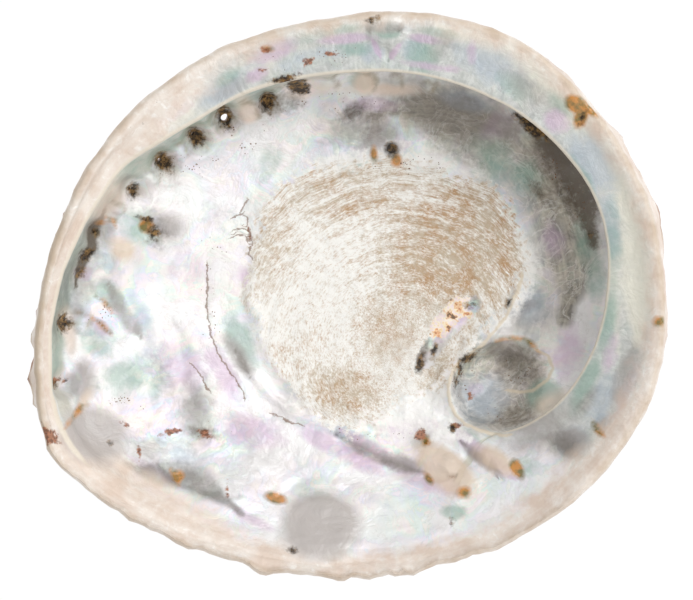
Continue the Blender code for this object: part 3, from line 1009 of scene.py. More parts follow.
@dataclass
class RoughBack:
    """Relief of the back: growth steps, cords, worn crust and what has grown on it."""

    spire: tuple[float, float] = (38.7, -23.3)
    knob_depth: float = 4.2
    knob_radius: float = 12.0
    knob_clearance: float = 0.6
    knob_edge: tuple[float, float] = (0.1, 0.6)
    pore_hump: float = 1.2
    pore_hump_setback: float = 3.0
    fold_count: int = 5
    fold_height: float = 0.7
    fold_twist: float = 0.16
    fold_growth: tuple[float, float] = (25.0, 60.0)
    growth_step: float = 14.0
    growth_height: float = 0.45
    worn_heights: tuple[float, float] = (1.5, 9.0)
    fine_growth_step: float = 3.1
    ridge_height: float = 0.3
    cord_count: int = 46
    cord_height: float = 0.16
    collar_setback: float = 7.0
    collar_height: float = 0.9
    # Crusts that stand out past the rim: place, height, radius, how far they stand out
    crusts: tuple[tuple[float, float, float, float, float], ...] = (
        (66, 41, 36, 3, 1.5), (-79.4, -17.5, 31, 3, 1.6), (-77.5, -23, 29, 2.4, 1.3),
        (-76.6, -37, 29, 3.4, 1.6), (-79.6, -9.6, 32, 2.2, 0.9), (30, -68, 30, 4, 0.8),
        (70, 30, 34, 3, 0.8), (-30, -66, 28, 4, 0.8), (-66, -46, 30, 2.6, 0.9), (59.6, 49.5, 37, 2.4, 0.7),
        (-20, 62, 22, 5, 0.7), (40, 52, 24, 6, 0.8),
    )

    def plain(self, surface: Surface) -> Array:
        """Measures how far the back stands out from its plain form, as the solid has it.

        Args:
            surface: The shell's points.

        Returns:
            Heights in millimetres.
        """
        x, y = surface.x, surface.y
        relief = np.zeros(x.shape)
        for px, py, radius in self.humps(self.pore_hump_setback):
            relief += self.pore_hump * bell(np.hypot(x - px, y - py), 2.0 * radius)
        away, turn = polar(x, y, self.spire)
        folds = np.sin(self.fold_count * turn + self.fold_twist * away) * smooth(*self.fold_growth, away)
        growth = np.sin(2.0 * math.pi * away / self.growth_step + 1.5 * np.sin(turn))
        keep = smooth(*self.worn_heights, surface.z)
        return relief + keep * (self.fold_height * folds + self.growth_height * growth)

    def humps(self, setback: float) -> list[tuple[float, float, float]]:
        """Finds the pores' places on the back.

        Args:
            setback: How much further from the bowl's middle they lie than inside.

        Returns:
            For each pore, its place and radius.
        """
        middle = ShellForm.middle
        found = []
        for pore in PORES:
            dx, dy = pore.x - middle[0], pore.y - middle[1]
            out = 1.0 + setback / math.hypot(dx, dy)
            found.append((middle[0] + dx * out, middle[1] + dy * out, pore.radius))
        return found

    def details(self, surface: Surface) -> Array:
        """Measures the finer relief of the back, along the surface's normals.

        Args:
            surface: The shell's points.

        Returns:
            Heights in millimetres.
        """
        x, y, places = surface.x, surface.y, surface.grid
        away, turn = polar(x, y, self.spire)
        wander = Grain(11.0, 3, 21)(places)
        steps = (away + 1.6 * wander) / self.fine_growth_step
        steps = steps - np.floor(steps)
        ridges = self.ridge_height * (steps - 0.5) * (0.6 + 0.4 * wander)
        cords = self.cord_height * np.sin(self.cord_count * turn + 0.5 * wander) * smooth(12.0, 40.0, away)
        crust = 0.42 * Grain(5.0, 4, 22)(places) + 0.25 * smooth(0.1, 0.5, Grain(9.0, 3, 23)(places))
        height = ridges + cords + crust
        for px, py, radius in self.humps(self.collar_setback):
            ring = np.hypot(x - px, y - py)
            height += self.collar_height * bell(ring - 1.5 * radius, 1.3)
        height = height * smooth(0.2, 4.0, surface.z)
        for cx, cy, cz, radius, rise in self.crusts:
            gap = np.sqrt((x - cx) ** 2 + (y - cy) ** 2 + (surface.z - cz) ** 2)
            height += rise * bell(gap, radius) * (0.75 + 0.5 * Grain(1.8, 2, 24)(places))
        return height


@dataclass
class StainsAndShade:
    """Colours, stain marks and painted shade of the inside, as soft features seen from above.

    The ones in low lie on the floor and the wall, the ones in high on the shelf's top, and both count on
    the plain lip. Each name is one layer of the finish.
    """

    low: dict[str, tuple[Patch | Line, ...]] = field(default_factory=lambda: {
        # Painted shade: the valley under the shelf at the upper right and the spire's hollow are laid darker
        "valley": features(
            (((10, 49.5), (22, 48), (34, 43), (45, 36), (54, 24), (58.5, 8), (56, -6)), 9, 0.7, 0.2, 0.85),
            (27, 47.5, 17, 7, -18, 0.7), (2, 45, 10, 5, 0, 0.8, 0.6), (-5, 46, 6, 7, 0, 0.8, 0.4),
            (49, 0, 7, 14, 0, 0.8, 0.6), (38.7, -23, 13, 13, 0, 0.25, 0.75),
        ),
        "blue": features(
            (30, 51, 7, 2.4, -14, 0.6), (-51.8, -14.6, 4, 2.4, 20, 0.7, 0.7),
            (-54.5, -6, 2.4, 7, 25, 0.7, 0.8), (-44, -40.8, 6, 3, -25, 0.7, 0.8),
            (-3, -35, 5, 1.8, -20, 0.6, 0.8), (47, -1.6, 4.6, 5, 0, 0.8), (34, -26.5, 7, 6, -30, 0.7, 0.9),
            (-24, 50.6, 4, 3, 20, 0.7, 0.6), (-62.6, 9.6, 5, 2.6, -45, 0.7, 0.7),
            (64.3, -32, 2.2, 2.8, 0, 0.5, 1.3), (3, -52, 8, 2, -12, 0.8, 0.4), (-5, 40, 7, 3, 10, 0.8, 0.4),
            (-72.6, 2, 1.8, 12, 15, 0.7, 0.5), (43, 28, 4, 9, 35, 0.8, 0.5),
        ),
        "teal": features(
            (-63, 1, 5, 2.8, -42, 0.6, 0.8), (-54.8, 18.6, 5.4, 4.4, 0, 0.7, 0.75),
            (-21.5, 35, 5, 3, 60, 0.8, 0.5), (-66, -11.2, 5.2, 3.4, -50, 0.7, 0.8),
            (-58.8, -20.6, 6.5, 4, 15, 0.7, 0.8), (-29, -11.2, 2.8, 7.5, 26, 0.6),
            (-50.5, -23, 2.2, 5, -10, 0.7, 0.6), (37.5, 36.8, 5, 7, 35, 0.8, 0.8),
            (45.6, 32, 5, 4, -40, 0.8, 0.8), (61.3, 14.7, 2.6, 6, 8, 0.7, 0.8),
            (64, 5, 2.2, 6, 0, 0.7, 0.8), (50.6, -26, 4, 4.4, -40, 0.5, 1.2),
            (30.6, -36.4, 3.6, 2, -20, 0.6, 0.8), (45.5, -43.4, 4, 2.4, -10, 0.8, 0.6),
            (56.6, -41, 4, 2.4, 20, 0.7, 0.6), (26.6, -55.2, 3.2, 1.8, 0, 0.5, 0.9),
            (3.4, 56.8, 3.6, 2.2, 0, 0.5, 0.9), (4, 34.5, 7, 1.8, 5, 0.6, 0.9),
            (24.4, -9, 2.6, 0.8, 45, 0.6, 1.2), (26.6, -9.8, 1.8, 0.7, 55, 0.6, 1.2),
            (-36.5, -49.5, 3, 2, 0, 0.8, 0.5), (-9, -51.6, 5, 1.6, -15, 0.7, 0.5),
            (((-65.5, 27), (-69, 19), (-72.6, 8), (-75, -4), (-76.6, -14),
             (-76.8, -24)), 2.6, 0.7, 0.1, 0.8),
            (((-18, 54), (-30, 50.6), (-41, 44.4), (-51, 36.6), (-60, 29)), 2, 0.7, 0.1, 0.6),
        ),
        "rose": features(
            (-68.6, 6.3, 2.2, 1.8, 0, 0.6), (-43, 8, 6, 4, -30, 0.8, 0.5), (-26.6, 3.6, 2, 5, 30, 0.6, 0.9),
            (38.5, 45, 3, 5, -50, 0.7, 0.7), (-44, -18.4, 7.5, 5, -40, 0.8, 0.75),
            (-33.4, -19.6, 3, 8.5, 33, 0.7, 0.9), (-26, -34.8, 8, 3.6, -16, 0.8, 0.9),
            (-8.4, -37, 6, 2.2, -25, 0.7), (-25.5, -57.2, 5, 1.4, -25, 0.7, 0.9),
            (1.4, -41.4, 8, 2.6, -28, 0.7), (15.5, -34.6, 8, 2.6, 8, 0.7, 0.7),
            (22, -48.4, 9, 2, -12, 0.7, 0.8), (56.8, -14.4, 3.4, 7, -12, 0.7, 0.8),
            (-64.8, -8.2, 3, 2, -50, 0.6, 0.7), (33, -24, 2, 2, 60, 0.7, 0.6),
            (6, 50.4, 8, 1.8, -3, 0.6, 0.7), (53, 15, 3, 5, 10, 0.8, 0.6),
            (24.2, -10.4, 3, 1.2, 45, 0.6, 1.2), (29.6, -4.6, 3.6, 1.5, 40, 0.6, 0.9),
            (((26.6, -33.8), (31, -38), (36.6, -42.8), (43, -47)), 1.8, 0.7, 0.2),
            (((-2.7, -34.8), (5.2, -39), (13, -44), (20, -45.4)), 1.7, 0.7, 0.2, 0.9),
            (((-58, -40.5), (-50, -45), (-44, -47.5)), 1.2, 0.7, 0.2, 0.7),
        ),
        # Grey tones of the pearl; the fold and the hollow low on the left are painted shade
        "grey": features(
            (-40.6, -30.4, 4.6, 8.4, 0, 0.9, 0.85), (-69.6, -22, 3.6, 6, -10, 0.6, 0.9),
            (((-57, 31), (-65, 18), (-70, 4), (-72, -14)), 3.4, 0.9, 0.3, 0.6),
            (-52.5, -40.5, 5, 4, -30, 0.8, 0.6),
            (((-62.8, 3.6), (-59, -4.6), (-54.6, -10.4)), 1.9, 0.7, 0.2, 0.8),
            (-29.6, -15.4, 2.2, 6.5, 33, 0.6, 0.9), (13.6, -43.2, 6, 2, -16, 0.7, 0.9),
            (56, -37, 3.4, 3.6, -20), (-1.2, 43.4, 8, 4, 10, 0.8, 0.5), (-34.6, 22.4, 5, 4, 0, 0.8, 0.35),
            (-47.6, 18.8, 4.6, 3.6, -30, 0.7, 0.8), (-49, -21, 2.4, 6, 30, 0.8, 0.6),
            (41, 44, 4, 2.4, -50, 0.7, 0.8),
        ),
        "shade": features(
            (((-58, -43), (-51, -45.6), (-43, -46), (-36, -49.6), (-28, -55.6)), 3, 0.7, 0.3, 0.95),
            (((-4, -35.6), (3.6, -39.8), (10.6, -43.4), (19, -45)), 1.4, 0.8, 0.3, 0.8),
            (((28.6, -37.4), (33, -41.2), (38.6, -45.4)), 1.3, 0.8, 0.3, 0.9),
            (41.6, -13.6, 7.6, 3, -8, 0.7, 0.8), (42, -2, 9, 6, -20, 0.9, 0.55),
            (((-66, 29), (-70, 20), (-73.4, 9), (-75.4, -1), (-77.2, -12), (-78, -22)), 2, 0.9, 0.3, 0.7),
            (8, 40.5, 6, 6.5, 0, 0.8, 0.7), (30, 42.6, 6, 3, -20, 0.8, 0.7), (27, 48, 17, 6, -16, 0.9),
            (52.6, 38.6, 5, 2.4, -45, 0.7, 0.7), (54.5, -37.5, 4.2, 3.8, -20, 0.7, 0.9),
            (((-31, -13), (-28, -17), (-26.4, -21)), 0.8, 0.8, 0.3, 0.8),
        ),
        # Brown stains and pits; the broad line along the shelf's edge at the upper right is painted shade
        "brown": features(
            (((45, 46), (52, 40), (57, 34), (61, 25), (63.5, 14)), 5.4, 0.9, 0.3),
            (((-63.2, 23), (-64.6, 20), (-65.4, 17), (-66.6, 13.6), (-68, 11), (-70, 6.6),
             (-71, 2.4)), 1.1, 0.9, 0.3, 1.3),
            (1, 48.6, 4, 2, 25, 0.8, 0.8), (6.6, 47.6, 2.6, 1.6, 20, 0.8, 0.6),
            (30, 36.6, 6, 2, -20, 0.8, 0.6), (49.6, 28, 1.6, 3.4, 35, 0.8, 0.7),
            (34, 4, 8, 5, -50, 0.8, 0.5), (14, 34.6, 4.4, 1.4, -10, 0.8, 0.7),
            (24, -14, 4, 2.6, 60, 0.8, 0.7), (17.6, -13, 3.6, 5.6, -15, 0.7, 0.9),
            (22, -24, 2.4, 6, 0, 0.8, 0.5), (45.6, -18.4, 6.4, 6, 10, 0.6, 0.42),
            (44, -31, 6, 3, 10, 0.8, 0.6), (18.6, -36.6, 3, 3, 0, 0.8, 0.7),
            (-38.4, -35.4, 4.4, 1.6, -10, 0.8, 0.6), (-17, 51, 5, 3, 0, 0.8, 0.5),
            (-50.6, 16, 3, 3, 0, 0.8, 0.5), (54.4, -37.6, 4.6, 4, -20, 0.8, 0.6),
            (-75.4, -34.6, 2.6, 2.6, 0, 0.8, 0.8),
        ),
        "blister": features(
            (-7.6, -58.8, 10.2, 8.2), (-66, -35.4, 8.6, 6.4, -32),
        ),
        "beige": features(
            (24.8, -44.6, 8.8, 4.9, -38), (37.4, -42.2, 5.6, 2.8, -28), (-59.4, 12.5, 3.4, 2.8, -50),
            (-69, -27.6, 1.4, 3.4, -20),
        ),
        "cream": features(
            (-64, -44.5, 9, 6, -30), (-38.5, -57.5, 10, 4.4, -28, 0.6, 0.8),
            (-62.4, 25.2, 3, 6, -30, 0.6, 0.7), (9, 54.2, 9, 1.6, 0, 0.6, 0.8),
            (-72.8, -9, 1.6, 6, 8, 0.6, 0.8), (52.6, -27.6, 5, 2.6, 30, 0.7, 0.8),
            (-10, 54, 7, 2, 8, 0.6, 0.6), (-26.6, 48.6, 3, 2.8), (3.8, 56, 3, 3), (-74, -38.5, 4, 4),
            (-50, -52, 10, 5, -30, 0.5, 0.9),
        ),
        "amber": features(
            (((-66.4, 0.4), (-64.4, -0.7), (-63, -2.6), (-62.4, -4)), 0.55, 0.4, 0.5),
            (((-67.3, -5.4), (-65.5, -6.5), (-63.8, -8.2), (-62.6, -9.6)), 0.85, 0.4, 0.5),
            (((-73.2, -33.4), (-71.6, -30.4), (-69.8, -28.3), (-68, -27.9)), 0.95, 0.4, 0.5),
            (((-46.2, -44.4), (-44.6, -45.8), (-44.2, -48)), 1.5, 0.5, 0.4),
            (-19.4, -52, 2.8, 1.5, -20, 0.6), (29.3, -50.4, 1.8, 1.3, 20), (20.2, -46.9, 1.7, 0.9, -50),
            (19.6, -37.4, 1, 1.4, -10, 0.5, 0.9), (43, -44.2, 1.5, 2.6, 20), (6.2, 37.8, 0.9, 1.9),
            (12.2, 36, 1.5, 1.7, 0, 0.6), (-53, 18.6, 1.9, 2.1), (-64.2, 19, 0.9, 0.8),
            (((61.6, -31), (62.4, -33.6), (64.3, -35.4)), 0.6),
            (((38, -11.4), (42, -10.6), (46, -10.9), (48.6, -12.9), (50, -15)), 0.5, 0.5, 0.4, 0.9),
            (((-60.8, 18.2), (-61.6, 20), (-63.2, 21)), 0.5, 0.5, 0.4, 0.6),
        ),
        "dirt": features(
            (((43, 47.6), (46.6, 45.4), (49.6, 43), (51, 41.4)), 2.1, 0.6, 0.4), (-67.9, 11, 2, 1.1, 60),
            (-69.4, 6.4, 1.2, 0.9, 60), (10.9, 38.8, 1.7, 2.1, 0, 0.4), (-51.2, 16.9, 1.1, 1.4),
            (-53.4, 20.6, 2.2, 0.7, -15, 0.4, 0.8), (-14.7, -64.6, 0.9, 0.7, 0, 0.8),
            (30.7, -15.8, 2.6, 1.3, 25, 0.4), (28.6, -18.8, 0.8, 1.6, 0, 0.6, 0.9),
            (27.6, -21.6, 0.6, 1.6, 10, 0.6, 0.8), (-13.4, 54.6, 3, 1.7, -5, 0.6, 0.95),
            (26.6, -34.4, 0.9, 1.1, 0, 0.5, 0.9), (18.4, -17.6, 1.1, 2.6, -15, 0.5, 0.9),
            (22, -14.2, 0.8, 2, -20, 0.6, 0.7), (31.6, -1.8, 1.3, 0.8, 10, 0.6, 0.8),
            (-62, -37.6, 0.4, 0.4), (26, -57.6, 0.5, 0.8, 0, 0.6, 0.8), (41.6, -1.4, 0.7, 1, 0, 0.5, 0.6),
            (48, 29.8, 0.5, 0.3), (62.9, 16.5, 0.5, 0.4), (-73.6, -6.6, 1.4, 2.2),
        ),
        "rust": features(
            (((-49.6, -35.8), (-47, -35.2), (-44.4, -34.6)), 0.85, 0.5, 0.4),
            (-58.6, -32.6, 1.1, 0.5, -20, 0.5, 0.9), (-54.6, -40.2, 0.5, 1.3, 0, 0.5, 0.9),
            (-31.9, -49.2, 0.5, 1.5, 10, 0.5, 0.8), (-38, -35.6, 1.6, 0.9, -20, 0.7, 0.6),
            (((-77.8, -32.4), (-76.8, -35), (-74.6, -36.6)), 1.5, 0.6, 0.3), (-26.5, 16.6, 0.45, 1.5, 10),
            (-74.4, -21, 0.9, 0.7), (18.4, -36, 1.4, 1.6, 0, 0.7, 0.7), (-60.6, 42, 0.4, 0.4, 0, 0.5, 0.8),
            (31.6, -26, 0.8, 0.8, 0, 0.6, 0.6), (27.6, -33.4, 1.2, 0.8, 0, 0.6, 0.7),
        ),
        "vivid": features(
            (((19.7, -16), (22.6, -12), (26.4, -8), (31, -3.6), (33.6, -0.6)), 2.1, 0.4, 0.2),
            (-50, -18, 24, 18, -30, 0.9, 0.55), (5, -40, 22, 8, -20, 0.9, 0.6),
            (51, 10, 9, 30, 10, 0.9, 0.35), (-60, 14, 12, 14, 0, 0.9, 0.4),
            (38.7, -23.3, 13, 13, 0, 0.4, 0.5), (0, 44, 24, 7, 0, 0.9, 0.35),
            (26, -54.8, 6, 2.6, 0, 0.7, 0.6),
        ),
        "gouge": features(
            (((30.8, -0.6), (28.4, -2.2), (26.2, -5), (23.8, -7.6), (21.6, -10.4)), 2.5),
            (31.2, -4.6, 1.6, 1),
        ),
        "tan": features(
            (28, 12, 21, 19, 40, 0.6, 0.85), (0, 28, 18, 8, 5, 0.7, 0.6), (-21, 15, 7, 12, -15, 0.7, 0.5),
            (-1.5, -24.5, 10, 6.5, -10, 0.6, 0.75), (10, -8, 8, 10, 0, 0.9, 0.65),
            (24, -22, 5, 9, -15, 0.6, 0.7), (-14, -14, 9, 6, 40, 0.9, 0.3),
        ),
        "specks": features(
            (-36, 38, 22, 5, 30, 0.7, 0.8), (-28, 39, 4, 2, 30, 0.6, 1.3), (-46, 31, 5, 2.4, 40, 0.7, 1.2),
            (-14, 50, 6, 3, 0, 0.8), (0, 51, 14, 3, 0, 0.8, 0.8), (-66, -4, 4, 5, 0, 0.8, 0.8),
            (-57, -29, 7, 3, -20, 0.7), (-36, -35, 8, 3, 0, 0.8, 0.9), (57, 28, 4, 12, 25, 0.8, 0.9),
            (31, -21, 4, 8, -10, 0.7, 1.4), (40, -31, 9, 3, 0, 0.8, 0.6), (20, -38, 8, 3, 0, 0.8, 0.9),
            (45, -19, 6, 5, 0, 0.7, 0.8), (14, 35, 10, 3, 0, 0.8), (-36, 0, 4, 26, 0, 0.8, 0.6),
            (5, -35, 22, 4, 0, 0.8, 0.5),
        ),
    })
    high: dict[str, tuple[Patch | Line, ...]] = field(default_factory=lambda: {
        "blue": features(
            (-33, 52.2, 7, 3.2, 32, 0.6, 0.9), (-15, 59.4, 5, 2.6, 20, 0.7, 0.6),
            (-4, 62, 9, 1.8, 5, 0.6, 0.5), (36, 58.4, 10, 4.4, -28, 0.7, 0.8),
            (61, 34, 4.4, 9, 30, 0.6, 0.9), (65.6, 19, 2.6, 9, 8, 0.6, 0.8), (5, 61.6, 3, 2.6, 0, 0.6, 0.8),
            (15.6, 62.4, 3.4, 3, 0, 0.6, 0.8), (64, -26, 3, 7, -25, 0.7, 0.7),
            (64.3, -32, 2.2, 2.8, 0, 0.5, 1.3), (56.6, -36.6, 4, 3.4, 30, 0.6),
            (-25, 57.6, 4, 2, 30, 0.7, 0.6),
        ),
        "ivory": features(
            (((22, 68), (38, 63), (54, 52), (65, 38), (71.4, 20), (73.4, 2), (72.6, -12)), 4.6, 0.9),
            (((61.6, 20), (66.6, 4), (68, -14)), 2.4, 0.9, 0.4, 0.5), (-43, 47.6, 9, 4.4, 38, 0.9, 0.9),
            (-20, 60, 9, 2.4, 22, 0.9, 0.5),
        ),
        "teal": features(
            (1, 62.6, 4.4, 2, 0, 0.6, 0.8), (9.2, 67.2, 3.4, 2), (18.2, 61, 4.4, 4, -10, 0.7, 0.9),
            (41.6, 53, 5, 2.6, -35, 0.7, 0.8), (66, 14, 3, 10, 0, 0.8, 0.6), (65.4, -6, 2, 9, -8, 0.7, 0.9),
            (-10, 65.4, 8, 1.6, 12, 0.6, 0.5), (-31, 55.6, 3.6, 1.6, 35, 0.7, 0.8),
            (52.6, 48.6, 4, 2, -45, 0.7, 0.7), (-3, 67.4, 5, 1, 5, 0.5, 0.9),
            (60, -22, 2, 8, -25, 0.6, 0.9), (22, 66.6, 5, 1.2, -10, 0.6, 0.8),
            (58, 30.6, 2, 6, 35, 0.7, 0.7),
        ),
        "rose": features(
            (-19, 62, 6, 2.2, 22, 0.6, 0.9), (-23.8, 56.2, 3, 1.6, 30, 0.6, 0.9), (-1, 65, 7, 1.2, 4, 0.6),
            (18.6, 64.9, 4, 1.1, -10, 0.6), (-44, 47.6, 6, 2, 40, 0.7, 0.7),
            (30.4, 61.4, 1.2, 3, 0, 0.7, 0.8), (52, 44.6, 3.2, 2.6, -40, 0.6),
            (20, 58.2, 8, 0.9, -8, 0.6, 0.8), (((5.4, 65.4), (7.4, 60.4)), 0.8, 0.7, 0.2),
            (((13, 64.4), (9.8, 60)), 0.8, 0.7, 0.2), (66, -14, 2, 5, -10, 0.7, 0.6),
            (70, -24, 1.4, 9, -20, 0.7, 0.6),
        ),
        "grey": features(
            (70, -20, 2.6, 9, -18, 0.6, 0.7), (57, -36.8, 4, 3.8, -20), (49, -33.6, 9.5, 5, 36, 0.8, 0.85),
            (8.6, 68, 4.6, 1.4, 0, 0.5, 0.8), (45, 52, 8, 3, -38, 0.8, 0.6), (22.6, 63, 3, 4, 0, 0.8, 0.5),
            (-30, 52.6, 6, 2, 30, 0.7, 0.5),
        ),
        "shade": features(
            (((3.8, 69.4), (5.2, 66.4)), 0.9, 0.8, 0.3, 0.9),
            (((12.8, 69.4), (12.4, 66.4)), 0.9, 0.8, 0.3, 0.9),
            (((-66, 29), (-70, 20), (-73.4, 9), (-75.4, -1), (-77.2, -12), (-78, -22)), 1.6, 0.9, 0.3, 0.7),
            (60.4, -26.6, 1.4, 3.6, -30, 0.6, 0.7), (54.4, -37.6, 3.6, 3.2, -20, 0.7, 0.9),
            (64.3, -32.6, 1.4, 1.8, 0, 0.8, 0.8),
        ),
        "amber": features(
            (56.8, 48.4, 3.2, 2, -30), (60, 47, 2.6, 1.1, -35), (57.9, 45.4, 1.7, 3, -14),
            (((61.6, -31), (62.4, -33.6), (64.3, -35.4)), 0.6), (77.6, -6, 1.6, 1.3),
            (-20.8, 62.4, 1.5, 0.8, 0, 0.8, 0.5),
        ),
        "dirt": features(
            (-16.6, 55.2, 3.4, 0.9, 14, 0.8, 0.85), (58.4, 45.4, 0.6, 1.6, -20, 0.6, 0.5),
            (((4, 69.2), (7, 70)), 0.5, 0.6, 0.2, 0.6),
        ),
        "rust": features(
            (-15.8, 55.4, 2.4, 0.7, 14, 0.6), (-10.7, 59.2, 1.3, 0.9, 30, 0.6),
            (-21.4, 62.4, 1, 0.7, 0, 0.7, 0.8), (-22, 57.4, 1.2, 0.4, 10, 0.6, 0.7),
            (-4.8, 61.2, 1.4, 0.4, -10, 0.7, 0.6), (-38, 67, 0.4, 0.4, 0, 0.5, 0.8),
            (((-78.2, -32), (-77, -35.2), (-74, -36.6)), 1.7, 0.6, 0.3),
        ),
        "vivid": features(
            (((-26, 57), (-12, 62), (0, 64), (12, 64.4), (24, 62.6)), 5.4, 0.6, 0.15, 0.9),
            (((30, 61), (44, 53), (56, 42), (63, 28), (66.6, 10), (66, -10),
             (61, -28)), 6, 0.7, 0.15, 0.45),
            (((-60, 36), (-48, 46), (-34, 54)), 4, 0.7, 0.15, 0.4),
        ),
        "specks": features(
            (-10, 60, 16, 3, 10, 0.7, 0.7), (-50, 46, 12, 5, 40, 0.8, 0.4),
        ),
    })
    # Angles between which the shelf has its grey tone, and between which it stands over the floor
    shelf_turn: tuple[float, float, float] = (-40.0, 215.0, 9.0)
    step_turn: tuple[float, float, float] = (-44.0, 200.0, 5.0)
    # Marks with an outline, the dark patch in each pore, and soft dark halos round the pores, partly painted
    # shade
    sharp: tuple[str, ...] = ("amber", "rust", "dirt", "beige", "blister", "gouge")
    pore_dark_patch: tuple[tuple[float, float, float], ...] = (
        (1.9, 2.3, -20), (1.7, 2.7, 10), (1.9, 2.3, 25), (2, 2.5, 30), (1, 1.7, -10), (0.6, 0.8, 0),
        (0.5, 0.8, 0), (0.3, 0.4, 0),
    )
    pore_halo: float = 1.55
    # Angles between which the rim's crest is worn most
    worn_crest: tuple[float, float, float] = (165.0, 206.0, 8.0)
    # Width of the border that isn't pearl, by angle
    border: Table = field(default_factory=lambda: {
        0: 3.6, 20: 3.2, 40: 3.2, 60: 3, 80: 2.6, 100: 2.4, 120: 4, 132: 8, 140: 10.5, 150: 12, 165: 13,
        180: 11, 190: 8.5, 200: 8, 207: 9, 215: 13, 225: 12, 235: 9.6, 250: 8.5, 270: 7, 290: 7.5, 310: 8.5,
        325: 8.5, 340: 6,
    })

    def fields(self, surface: Surface, edge: Array, inside: PearlSide) -> dict[str, Array]:
        """Measures every mark at every point.

        Args:
            surface: The shell's points before the finer relief.
            edge: Distance of each point from the rim's crest.
            inside: The pearly side, whose scar, cracks, arcs and folds are marks too.

        Returns:
            For each mark, its value at each point: a strength, or a depth in millimetres.
        """
        x, y, station, lip = surface.x, surface.y, surface.station, surface.lip
        facing_in = 1.0 - smooth(9.4, 10.2, station)
        on_top = smooth(5.45, 5.75, station)
        both = np.maximum(lip, 1.0 - turn_window(surface.angle, *self.step_turn))
        low, high = np.maximum(1.0 - on_top, both) * facing_in, np.maximum(on_top, both) * facing_in
        floor = low * (1.0 - smooth(4.3, 4.8, station) * (1.0 - both))
        marks = self.painted(x, y, low, high, floor)
        marks["halo"] = self.halo(surface, inside) * floor
        marks["shelf"] = on_top * (1.0 - lip) * facing_in * turn_window(surface.angle, *self.shelf_turn)
        wall = smooth(3.7, 4.3, station) * (1.0 - smooth(5.3, 5.7, station)) * (1.0 - lip)
        marks["wall"] = np.broadcast_to(wall, x.shape)
        marks["border"] = self.border_depth(surface, edge)
        marks["back"] = np.broadcast_to(smooth(10.3, 11.2, station), x.shape)
        marks["scar"] = inside.scar_cover(surface.grid) * facing_in * (1.0 - smooth(3.3, 3.8, station))
        marks["crack_side"], near = line_offset(x, y, (inside.crack, *inside.short_cracks))
        marks["crack"] = near * facing_in
        marks["seam_side"], near = line_offset(x, y, (inside.spire_rim, inside.whorl_end))
        marks["seam"] = near * low * (1.0 - lip * (station > 6.0))
        reach, turn = polar(x, y, inside.arc_middle)
        marks["arcs"] = turn_window(np.degrees(turn), 5.0, 130.0, 25.0) * smooth(12.0, 20.0, reach)
        crest = np.interp(edge, (0.8, 2.2), (1.0, 0.0)) * np.interp(station, (8.0, 9.0), (0.4, 1.0))
        marks["crest"] = crest * (0.55 + 0.45 * turn_window(surface.angle, *self.worn_crest))
        # White round the scar's low end: chalky pearl, partly painted highlights on its crinkles
        marks["chalk"] = covered(x, y, inside.chalky) * low
        folds = np.clip(0.5 + 0.5 * inside.fold_height(surface.grid, station), 0.0, 1.0)
        marks["folds"] = folds * facing_in + 0.5 * (1.0 - facing_in)
        return marks

    def painted(self, x: Array, y: Array, low: Array, high: Array, floor: Array) -> dict[str, Array]:
        """Measures the listed marks, and the dark patches in the pores.

        Args:
            x: Places along X.
            y: Places along Y.
            low: 1 where the marks of the floor and the wall count.
            high: 1 where those of the shelf's top count.
            floor: 1 where the sharp ones of the floor count.

        Returns:
            For each mark, its value at each point.
        """
        marks: dict[str, Array] = {}
        for name in (*self.low, "ivory"):
            below, above = self.low.get(name, ()), self.high.get(name, ())
            if name in self.sharp:
                marks[name] = np.maximum(drawn(x, y, below, floor), drawn(x, y, above, high))
            else:
                marks[name] = np.maximum(covered(x, y, below) * low, covered(x, y, above) * high)
        bores = tuple(
            Patch(pore.x + 0.2, pore.y - 0.3, length, width, turn)
            for pore, (length, width, turn) in zip(PORES, self.pore_dark_patch)
        )
        marks["pores"] = drawn(x, y, bores, floor)
        return marks

    def halo(self, surface: Surface, inside: PearlSide) -> Array:
        """Measures the soft brown round the pores, partly painted shade, and the painted shade on one side of
        each bead.

        Args:
            surface: The shell's points.
            inside: The pearly side, whose beads get painted shade on one side.

        Returns:
            Strengths from 0 to 1.
        """
        x, y = surface.x, surface.y
        reach = np.full(x.shape, FAR)
        for pore, (length, width, _) in zip(PORES, self.pore_dark_patch):
            away = np.hypot(x - pore.x - 0.4, y - pore.y + 0.6)
            reach = np.minimum(reach, away / (self.pore_halo * 0.5 * (length + width)))
        stain_and_shade = bell(reach, 0.85)
        ragged = 0.7 * Grain(2.4, 2, 61)(surface.grid)
        for bx, by, radius in inside.beads:
            away = np.hypot(x - bx, 1.1 * (y - by)) + ragged
            stain_and_shade = np.maximum(stain_and_shade, 0.5 * bell(away - radius, 0.8) * smooth(-1.6, 1.6, x + y - bx - by))
        return stain_and_shade

    def border_depth(self, surface: Surface, edge: Array) -> Array:
        """Measures the border that isn't pearl.

        Args:
            surface: The shell's points.
            edge: Distance of each point from the rim's crest.

        Returns:
            How far inside the border each point lies, in millimetres.
        """
        station = surface.station
        border = around(self.border, surface.angle.ravel())[:, None]
        past_crest = 14.0 * smooth(9.3, 9.8, station) - FAR
        depth = np.maximum(np.clip(border - edge, -FAR, DEPTH_LIMIT + border), past_crest)
        under_shelf = (1.0 - smooth(5.5, 6.0, station)) * (1.0 - surface.lip)
        hidden = np.maximum(smooth(10.6, 11.3, station), under_shelf)
        return depth * (1.0 - hidden) - FAR * hidden


